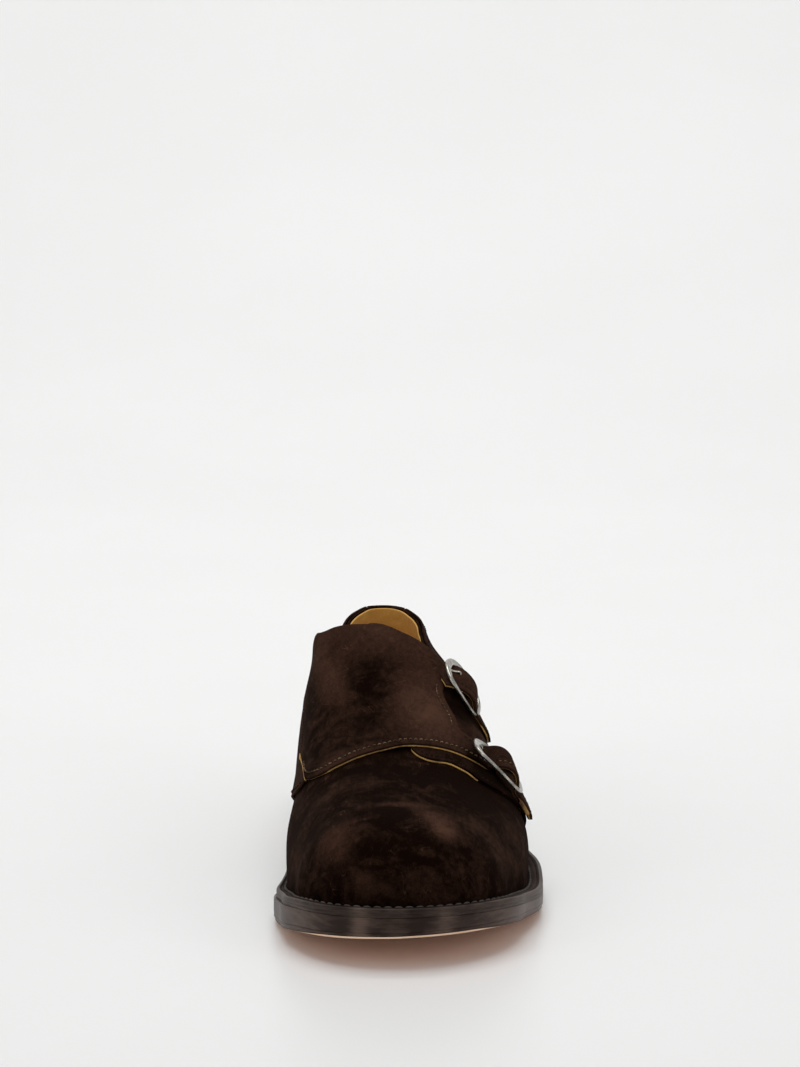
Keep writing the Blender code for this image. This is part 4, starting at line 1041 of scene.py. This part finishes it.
# frame: broad and rounded at the instep end, thin at the sides, squarer at the outer end
ringShape = {"steps": 120, "sides": 16, "side": 0.85, "broad": 1.9, "outerEnd": 1.0, "thick": 0.8,
             "spread": 0.055, "broadPowers": (1.6, 1.3), "rounder": 0.9, "bow": 0.55, "endDip": 0.35,
             "profile": 3.4}
prong = {"start": 0.40, "span": 0.41, "rise": 0.6, "sink": 2.8, "tip": 0.9, "taper": 0.42, "bite": 0.05,
         "comesUp": 0.2, "over": (0.35, 0.85), "rests": 0.6, "wide": 1.15, "high": 0.85}


def superRing(angle, long, wide, corner):
    # superellipse: each axis is the sign of the cosine or sine times its size to 2 over the corner
    c, s = np.cos(angle), np.sin(angle)
    return np.sign(c) * np.abs(c) ** (2 / corner) * long, np.sign(s) * np.abs(s) ** (2 / corner) * wide


def bandSection(path, inPlane, out, wide):
    # flat band with rounded edges carried round a closed path; wide lies in the ring's plane
    sides = ringShape["sides"]
    turn = np.linspace(0, 2 * math.pi, sides, endpoint=False)
    a, b = superRing(turn, 1.0, ringShape["thick"], ringShape["profile"])
    section = a[:, None] * wide[:, None, None] * inPlane[:, None] + b[:, None] * out
    faces = gridFaces(len(path) + 1, sides, wrap=True) % (len(path) * sides)
    return (path[:, None] + section).reshape(-1, 3), faces


def makeBuckle(name, buckle):
    # frame: superellipse at even angles, drawn to the corners, with its band broad at the instep end
    middle, along, across, out, half = buckleAxes(buckle)
    row = rowOf(buckle["y"])

    def addMetal(part, points, faces):
        addPiece(f"buckle{name.title()}{part}", points, faces, [nickel], "buckle_metal",
                 [f"buckle_{name}_{part.lower()}"])

    angle = np.linspace(0, 2 * math.pi, ringShape["steps"], endpoint=False)
    angle = angle + ringShape["spread"] * np.sin(4 * angle)
    toBroad, toWide = ringShape["broadPowers"]
    broad = np.clip(-np.cos(angle), 0, 1) ** toBroad
    u, v = superRing(angle, half, buckles["halfWidth"], buckle["corner"] - ringShape["rounder"] * broad)
    # the sides rise a little towards the middle
    bow = ringShape["bow"] * (1 - (u / half) ** 2) - ringShape["endDip"] * broad
    path = middle + u[:, None] * along + v[:, None] * across + bow[:, None] * out
    tangent = unit(np.roll(path, -1, 0) - np.roll(path, 1, 0))
    wide = ringShape["side"] + (ringShape["broad"] - ringShape["side"]) * broad**toWide
    wide = wide + (ringShape["outerEnd"] - ringShape["side"]) * np.clip(np.cos(angle), 0, 1) ** 4
    addMetal("Frame", *bandSection(path, unit(np.cross(tangent, out)), out, wide))
    # the bar, between the frame's sides
    reach = buckles["halfWidth"] - buckles["barShort"]
    at = np.linspace(-reach, reach, 9)[:, None]
    addMetal("Bar", *rods((middle + at * across)[None], out, buckles["barWire"], buckles["barWire"], 14))
    # the prong loops round the bar, comes up through the strap and rests on the frame's broad end
    span = buckle["end"] - buckle["start"]
    share = np.linspace(0, 1, 30)
    q = buckle["start"] + span * (prong["start"] - prong["span"] * share)
    clear = strapThick + buckles["prongWire"]
    onFrame = panel["quarterLift"] + clear + buckle["clear"] + 2 * buckles["wire"] - prong["bite"]
    onStrap = strapLift(row, q, buckle) + clear
    over = onStrap + (onFrame - onStrap) * smoothStep(share, *prong["over"])
    lift = np.maximum(over, np.where(share > prong["rests"], onFrame, 0))
    lift = lift + prong["rise"] * np.sin(math.pi * share) ** 2 - prong["tip"] * share**14
    emerged = smoothStep(share, buckle["hidden"], buckle["hidden"] + prong["comesUp"])
    lift = lift - prong["sink"] * (1 - emerged)
    path = overWall(row, q, lift)
    size = buckles["prongWire"] * (1.0 - prong["taper"] * share)
    addMetal("Prong", *rods(path[None], out, size * prong["wide"], size * prong["high"], 14))
    # the tab is folded round the bar and fills the strap's hump: closed rings from its nose to its tail
    at = np.linspace(-tab["nose"], half + tab["tail"], 46)[:, None]
    width = np.linspace(-tab["halfWidth"], tab["halfWidth"], 16)
    centre = (buckle["start"] + buckle["end"]) / 2
    spot, line = centre + span / 2 / half * at + 0 * width, rowOf(buckle["y"] + width) + 0 * at
    barAt = (middle - wallPoint(row, spot[0, 0])) @ wallNormal(row, centre)
    free = 1 - smoothStep(at, *tab["free"])
    low, high = panel["quarterLift"] - tab["sink"], strapLift(line, spot, buckle) - tab["clear"]
    low = low + free * (barAt - buckles["barWire"] - tab["wrapLow"] - panel["quarterLift"])
    high = high + free * (np.minimum(high, barAt + buckles["barWire"] + tab["wrapHigh"]) - high)
    full = np.sqrt(1 - np.clip(-at / tab["nose"], 0, 1) ** 2)
    full = full * (1 - tab["thinEdge"] * (np.abs(width) / tab["halfWidth"]) ** 8) * (at < at[-1])
    heart = (low + high) / 2
    upper, lower = heart + (high - heart) * full, heart + (low - heart) * full
    line, spot, lift = (np.concatenate([there, back[:, ::-1]], axis=1)
                        for there, back in ((line, line), (spot, spot), (upper, lower)))
    addGrid(f"buckle{name.title()}Tab", overWall(line, spot, lift), suede, "upper_suede",
            [f"buckle_{name}_tab"], wrap=True)


for which in ("rear", "front"):
    makeBuckle(which, buckles[which])
print("buckles ready")

# Welt, sole and heel

# profiles: for the welt the share of its width, the length past it and the height from its top face,
# for the sole the length past the outline and the height from underside or top face
welt = {
    "thick": 3.2, "gap": 0.3, "stitchPitch": 4.2, "stitchLength": 3.5, "stitchRadius": 0.55,
    "stitchAt": (0.235, -0.30), "stitchedTo": 9.5, "notchPitch": 2.1, "notchDepth": 0.42,
    "notchAt": (0.48, 0.10), "notchSlant": 3.0, "notchCut": 0.1, "notchAbove": -0.6,
    "lip": 0.8, "paintedReflections": 0.7,
    "profile": (
        (-0.35, 0, -1.25), (0.00, 0, -1.25), (0.06, 0, -1.0), (0.14, 0, -0.70), (0.22, 0, -0.48),  # trench
        (0.32, 0, -0.22), (0.36, 0, 0.0), (0.42, 0, 0.02), (0.50, 0, 0.02), (0.60, 0, 0.0),  # wheeled band
        (0.68, 0, -0.12), (0.72, 0, -0.45), (0.76, 0, -0.10), (0.80, 0.1, 0.05),  # fine groove
        (0.88, 0.3, 0.10), (0.97, 0.6, 0.06), (1.0, 0.85, -0.08), (1.0, 1.04, -0.38),  # lip
        (1.0, 1.14, -0.9), (1.0, 1.12, -1.5),
        (1.0, 0.98, -1.84), (1.0, 0.96, -1.94), (1.0, 1.08, -2.1), (1.0, 1.16, -2.5),  # line on the edge
        (1.0, 1.2, -3.3), (1.0, 1.12, -3.42), (1.0, 0.9, -3.46), (-0.35, 0, -3.46)),
}
sole = {
    "splay": 1.2, "splayAt": (3.5, 1.1),  # stands out past the welt on the inner side of the toe
    # where the natural leather comes and goes across the toe and along the foot, and its least share
    "lineAcross": ((-46, -32), (24, 38)), "lineBack": (-120, -90), "lineLeast": 0.08, "lineTop": 1.1,
    "under": (0.0, 0.35, 0.65),  # shares of the outline
    "flat": ((-7.4, 0.0), (-6.7, 0.0), (-6.45, 0.16), (-6.2, 0.0), (-3.0, 0.0), (-0.5, 0.0), (0.25, 0.08),
             (0.62, 0.30), (0.70, 0.90)),  # natural leather with the closed channel
    "edge": ((0.66, 1.0), (0.48, 1.06), (0.52, 1.14), (0.98, 1.26), (1.14, 1.50), (1.18, 1.9), (1.12, 2.25),
             (0.94, 2.38), (0.96, 2.50), (1.12, 2.66), (1.20, 3.2), (1.24, 4.2)),
    "top": ((1.22, -1.6), (1.20, -0.5), (1.18, -0.14), (1.08, -0.02), (0.60, 0.0), (-2.0, 0.0)),
    # painted reflections on the edge, as lighter and darker bands: place across, width, tone
    "paintedReflections": ((-19, 3.5, 0.55), (-6.5, 4, 0.06), (14, 4, 0.30), (3, 3, -0.2), (-27, 3.5, -0.15),
              (-44, 9, 0.35), (32, 5, 0.1), (46, 12, 0.45)),
}
insole = {"past": -2.4,
          "profile": ((0.0, 0), (0.6, 0), (1.0, 0), (1.0, 3.0), (0.985, 3.35), (0.9, 3.3), (0.7, 2.8),
                      (0.4, 2.5), (0.0, 2.45))}
heel = {
    "breastRow": 9.62, "breastHollow": 3.0, "bulge": 0.4, "topPiece": 6.0, "lift": 4.8, "taper": 1.6,
    "between": 0.12, "centreAhead": 5,
    # share of the outline, share of the layer's height, step out
    "profile": ((0, 0, 0), (0.6, 0, 0), (1, 0, -0.5), (1, 0.03, -0.16), (1, 0.10, 0.0), (1, 0.5, 0.05),
                (1, 0.92, 0.0), (1, 0.985, -0.14), (1, 1, -0.4), (0.6, 1, 0), (0, 1, 0)),
}


def ringAt(t):
    # row and side at a place round the foot: 0 at the toe, up the inner side, 14 at the heel, back to 28
    return np.where(t <= lastRow, t, 2 * lastRow - t), np.where(t <= lastRow, -1, 1)


def planAt(t, weltShare, beyond):
    # plan point round the foot, past the foot of the upper by a share of the welt and a length
    row, side = ringAt(t)
    x, y, dx, dy, reach, tuck, _, _, ledge = sectionAt(row, side)
    radius = reach - tuck + ledge * weltShare + beyond
    return np.stack([x + radius * dx, y + radius * dy], -1), np.stack([x, y], -1)


def outsoleTop(plan):
    # height of the outsole's top face under the welt
    return featherOf(plan[:, 1]) - welt["thick"] - 2 * welt["gap"]


def evenRing(count):
    # places round the foot at even lengths along the welt's edge, and that edge's length
    t = np.linspace(0, 2 * lastRow, 4001)
    plan, _ = planAt(t, 1.0, 0.0)
    along = lengthsAlong(plan)
    return np.interp(np.linspace(0, along[-1], count, endpoint=False), along, t), along[-1]


def paintedEdgeReflections(grid):
    # painted reflections on the front edge: bumps of tone across the shoe, each exp of minus the squared
    # distance
    return sum(tone * np.exp(-(((grid[..., 0] - at) / wide) ** 2)) for at, wide, tone in sole["paintedReflections"])


def makeWelt():
    # profile carried round the foot; the band's slanting notches are the crests of a cosine along it
    t, length = evenRing(2400)
    at = np.arange(len(t)) * length / len(t)
    row, _ = ringAt(t)
    stitched = 1 - smoothStep(row, welt["stitchedTo"] - 0.2, welt["stitchedTo"] + 0.2)
    middle, spread = welt["notchAt"]
    rings = []
    for share, past, height in welt["profile"]:
        plan, _ = planAt(t, share, past)
        band = math.exp(-((share - middle) / spread) ** 2)
        slant = (at + share * welt["notchSlant"]) / welt["notchPitch"] * 2 * math.pi
        notch = np.clip(np.cos(slant) - welt["notchCut"], 0, 1) * welt["notchDepth"] * band * stitched
        z = featherOf(plan[:, 1]) - welt["gap"] + height - (notch if height > welt["notchAbove"] else 0)
        rings.append(np.column_stack([plan, z]))
    grid = np.array(rings + rings[:1])
    faces = gridFaces(*grid.shape[:2], wrap=True)
    lip = sum(share < welt["lip"] for share, _, _ in welt["profile"])
    marks = (np.arange(len(faces)) // len(t) < lip).astype(int)  # 0 lip and edge, 1 top beside the upper
    # its tone attribute carries painted reflections across the front
    addPiece("weltStrip", grid, faces, [weltLeather, weltTop], "welt_leather", ["welt"], marks=marks,
             tone=welt["paintedReflections"] * paintedEdgeReflections(grid))
    share, drop = welt["stitchAt"]
    t = t[np.r_[np.where(t > 2 * lastRow - welt["stitchedTo"])[0], np.where(t < welt["stitchedTo"])[0]]]
    plan, centre = planAt(t, share, 0.0)
    path = np.column_stack([plan, featherOf(plan[:, 1]) - welt["gap"] + drop])
    ups = unit(np.column_stack([(plan - centre) * 0.012, np.ones(len(plan))]))
    sewn = stitches(path, ups, welt["stitchPitch"], welt["stitchLength"], welt["stitchRadius"])
    addPiece("weltStitches", *sewn, [threadWelt], "welt_leather")


def lineShow(plan):
    # how much of the natural leather shows over the sole's lower edge: only round the toe
    x, y = plan.T
    comes, goes = sole["lineAcross"]
    shown = smoothStep(x, *comes) * (1 - smoothStep(x, *goes)) * (1 - smoothStep(y, *sole["lineBack"]))
    return sole["lineLeast"] + (1 - sole["lineLeast"]) * shown


def soleRing(t, height, share=1.0, beyond=0.0, weltShare=1.0):
    # one ring of a slab: past the outline by a length, drawn in to a share of it, at a height given the plan
    row, wide = sole["splayAt"]
    splay = sole["splay"] * np.exp(-(((t - row) / wide) ** 2)) if beyond > 0 else 0
    plan, centre = planAt(t, weltShare, beyond + splay)
    if share != 1:
        plan = centre + (plan - centre) * share
    return np.column_stack([plan, height(plan)])


def makeSole():
    # rings from the middle line underneath round the edge to the middle line on top, and the insole
    t = np.linspace(0, 2 * lastRow, 840, endpoint=False)
    rings = [soleRing(t, treadOf, share) for share in sole["under"]]
    for out, up in sole["flat"] + sole["edge"]:
        share = lineShow if up < sole["lineTop"] else lambda plan: 1
        rings.append(soleRing(t, lambda plan: treadOf(plan) + up * share(plan), beyond=out))
    rings += [soleRing(t, lambda plan: outsoleTop(plan) + up, beyond=out) for out, up in sole["top"]]
    grid = np.array(rings + [soleRing(t, outsoleTop, 0.0)])
    faces = gridFaces(*grid.shape[:2], wrap=True)
    ring = np.arange(len(faces)) // len(t)
    natural = len(sole["under"]) + len(sole["flat"]) - 1
    marks = np.where(ring >= natural, 1, np.where(ring >= natural - 3, 2, 0))  # edge, line and underside
    # its tone attribute carries painted reflections across the front edge
    addPiece("outsoleLeather", grid, faces, [soleLeather, edgeLeather, soleLine], "sole_leather",
             ["outsole"], marks=marks, tone=paintedEdgeReflections(grid))
    rings = [soleRing(t, lambda plan: outsoleTop(plan) + welt["gap"] + up, share, insole["past"], 0)
             for share, up in insole["profile"]]
    addGrid("sockInsole", np.array(rings), sockLeather, "lining", ["insole"], wrap=True)


def heelPlan(drawnIn):
    # closed outline of the heel: round the back between the breast's corners, then across in a hollow
    row = np.linspace(heel["breastRow"], lastRow, 120)
    t = np.r_[row, 2 * lastRow - row[-2::-1]]
    plan, _ = planAt(t, 1.0, heel["bulge"] - drawnIn)
    share = np.linspace(0, 1, 40)[1:-1, None]
    across = plan[-1] + (plan[0] - plan[-1]) * share
    across[:, 1] += heel["breastHollow"] * (1 - (2 * share[:, 0] - 1) ** 2)
    return np.concatenate([plan, across])


def makeHeel():
    # layers whose outline narrows upwards and whose top, for the last one, follows the sole's underside
    full = float(underOf(last["heelY"]))
    centre = np.array([sections[last["heelRoot"], 1], last["heelY"] - heel["centreAhead"]])
    floors = [0.0, *(heel["topPiece"] + heel["lift"] * np.arange(3)), None]
    labels = ["heelTopPiece", "heelLift1", "heelLift2", "heelLift3"]
    nodes = ["heel_top_piece", "heel_lift_1", "heel_lift_2", "heel_lift_3"]
    for label, node, low, high in zip(labels, nodes, floors, floors[1:]):
        rings = []
        for pull, share, step in heel["profile"]:
            plan = heelPlan(heel["taper"] * (1 - (low + share * ((high or full) - low)) / full) - step)
            plan = centre + (plan - centre) * pull
            top = underOf(plan[:, 1]) if high is None else np.full(len(plan), high)
            rings.append(np.column_stack([plan, low + (top - heel["between"] - low) * share]))
        own = (rubber, "heel_rubber") if low == 0 else (heelLeather, "heel_stack")
        addGrid(label, np.array(rings), *own, [node], wrap=True)


makeWelt()
makeSole()
makeHeel()
print("sole and heel ready")

# Stage, light and camera

stage = {"floorWidth": 9.0, "wallY": 2.6, "bend": 1.6, "wallTop": 5.0, "front": -4.0, "rough": 0.36,
         "world": 0.43}


def makeStage():
    # floor that bends up into a wall in one quarter circle
    turn = np.linspace(0, math.pi / 2, 32)
    r, y0 = stage["bend"], stage["wallY"]
    y = np.r_[np.linspace(stage["front"], y0 - r, 20)[:-1], y0 - r + r * np.sin(turn), y0]
    z = np.r_[np.zeros(19), r - r * np.cos(turn), stage["wallTop"]]
    x = np.linspace(-stage["floorWidth"] / 2, stage["floorWidth"] / 2, 12)
    grid = np.stack(np.broadcast_arrays(x, y[:, None], z[:, None]), -1)
    mesh = bpy.data.meshes.new("studioSweep")
    mesh.from_pydata(grid.reshape(-1, 3).tolist(), [], gridFaces(*grid.shape[:2]).tolist())
    mesh.shade_smooth()
    paper, tree, shader = newMaterial("paperWhite")
    place = objectPlace(tree)
    shade = ramp(tree, noise(tree, place, "paperClouds"), 0.3, 0.7)
    colour = mixed(tree, shade, (0.86, 0.86, 0.855, 1), (0.88, 0.88, 0.876, 1))
    tree.links.new(colour, shader.inputs["Base Color"])
    addRelief(tree, shader, 0.1, 0.5, noise(tree, place, "paperGrain"))
    shader.inputs["Roughness"].default_value = stage["rough"]
    mesh.materials.append(paper)
    newObject("studioSweep", mesh)


def addLight(name, place, aim, size, power):
    # soft rectangle that faces the point it is aimed at
    data = bpy.data.lights.new(name, "AREA")
    data.shape, data.size, data.size_y = "RECTANGLE", size[0], size[1]
    data.energy = power
    light = newObject(name, data)
    light.location = place
    light.rotation_euler = (Vector(aim) - Vector(place)).to_track_quat("-Z", "Y").to_euler()


makeStage()
lights = {
    "overhead": {"place": (-0.1, 0.05, 1.9), "aim": (0, -0.05, 0.05), "size": (1.4, 1.4), "power": 16},
    "leftSide": {"place": (-1.5, -1.1, 0.75), "aim": (0, -0.1, 0.05), "size": (0.5, 1.0), "power": 3},
    "rightSide": {"place": (1.5, -1.1, 0.75), "aim": (0, -0.1, 0.05), "size": (0.5, 1.0), "power": 3},
    "backdrop": {"place": (0, 0.9, 2.3), "aim": (0, 2.5, 0.7), "size": (2.4, 0.5), "power": 22.5},
}
for name, light in lights.items():
    addLight(name, *light.values())
world = bpy.data.worlds.new("studio")
world.use_nodes = True
setValues(world.node_tree.nodes["Background"].inputs, {"Color": (1, 1, 1, 1), "Strength": stage["world"]})
bpy.context.scene.world = world
bpy.context.scene.view_settings.view_transform = "Standard"

view = {"place": (-0.0035, -1.5590, 0.4099), "pitch": 80.412, "lens": 126.32, "sensor": 36.0}
cameraData = bpy.data.cameras.new("camera")
cameraData.sensor_fit = "AUTO"
cameraData.sensor_width, cameraData.lens = view["sensor"], view["lens"]
cameraData.clip_start, cameraData.clip_end = 0.05, 50
camera = newObject("camera", cameraData)
camera.location = view["place"]
camera.rotation_euler = (math.radians(view["pitch"]), 0, 0)
bpy.context.scene.camera = camera
print("stage, lights and camera ready")
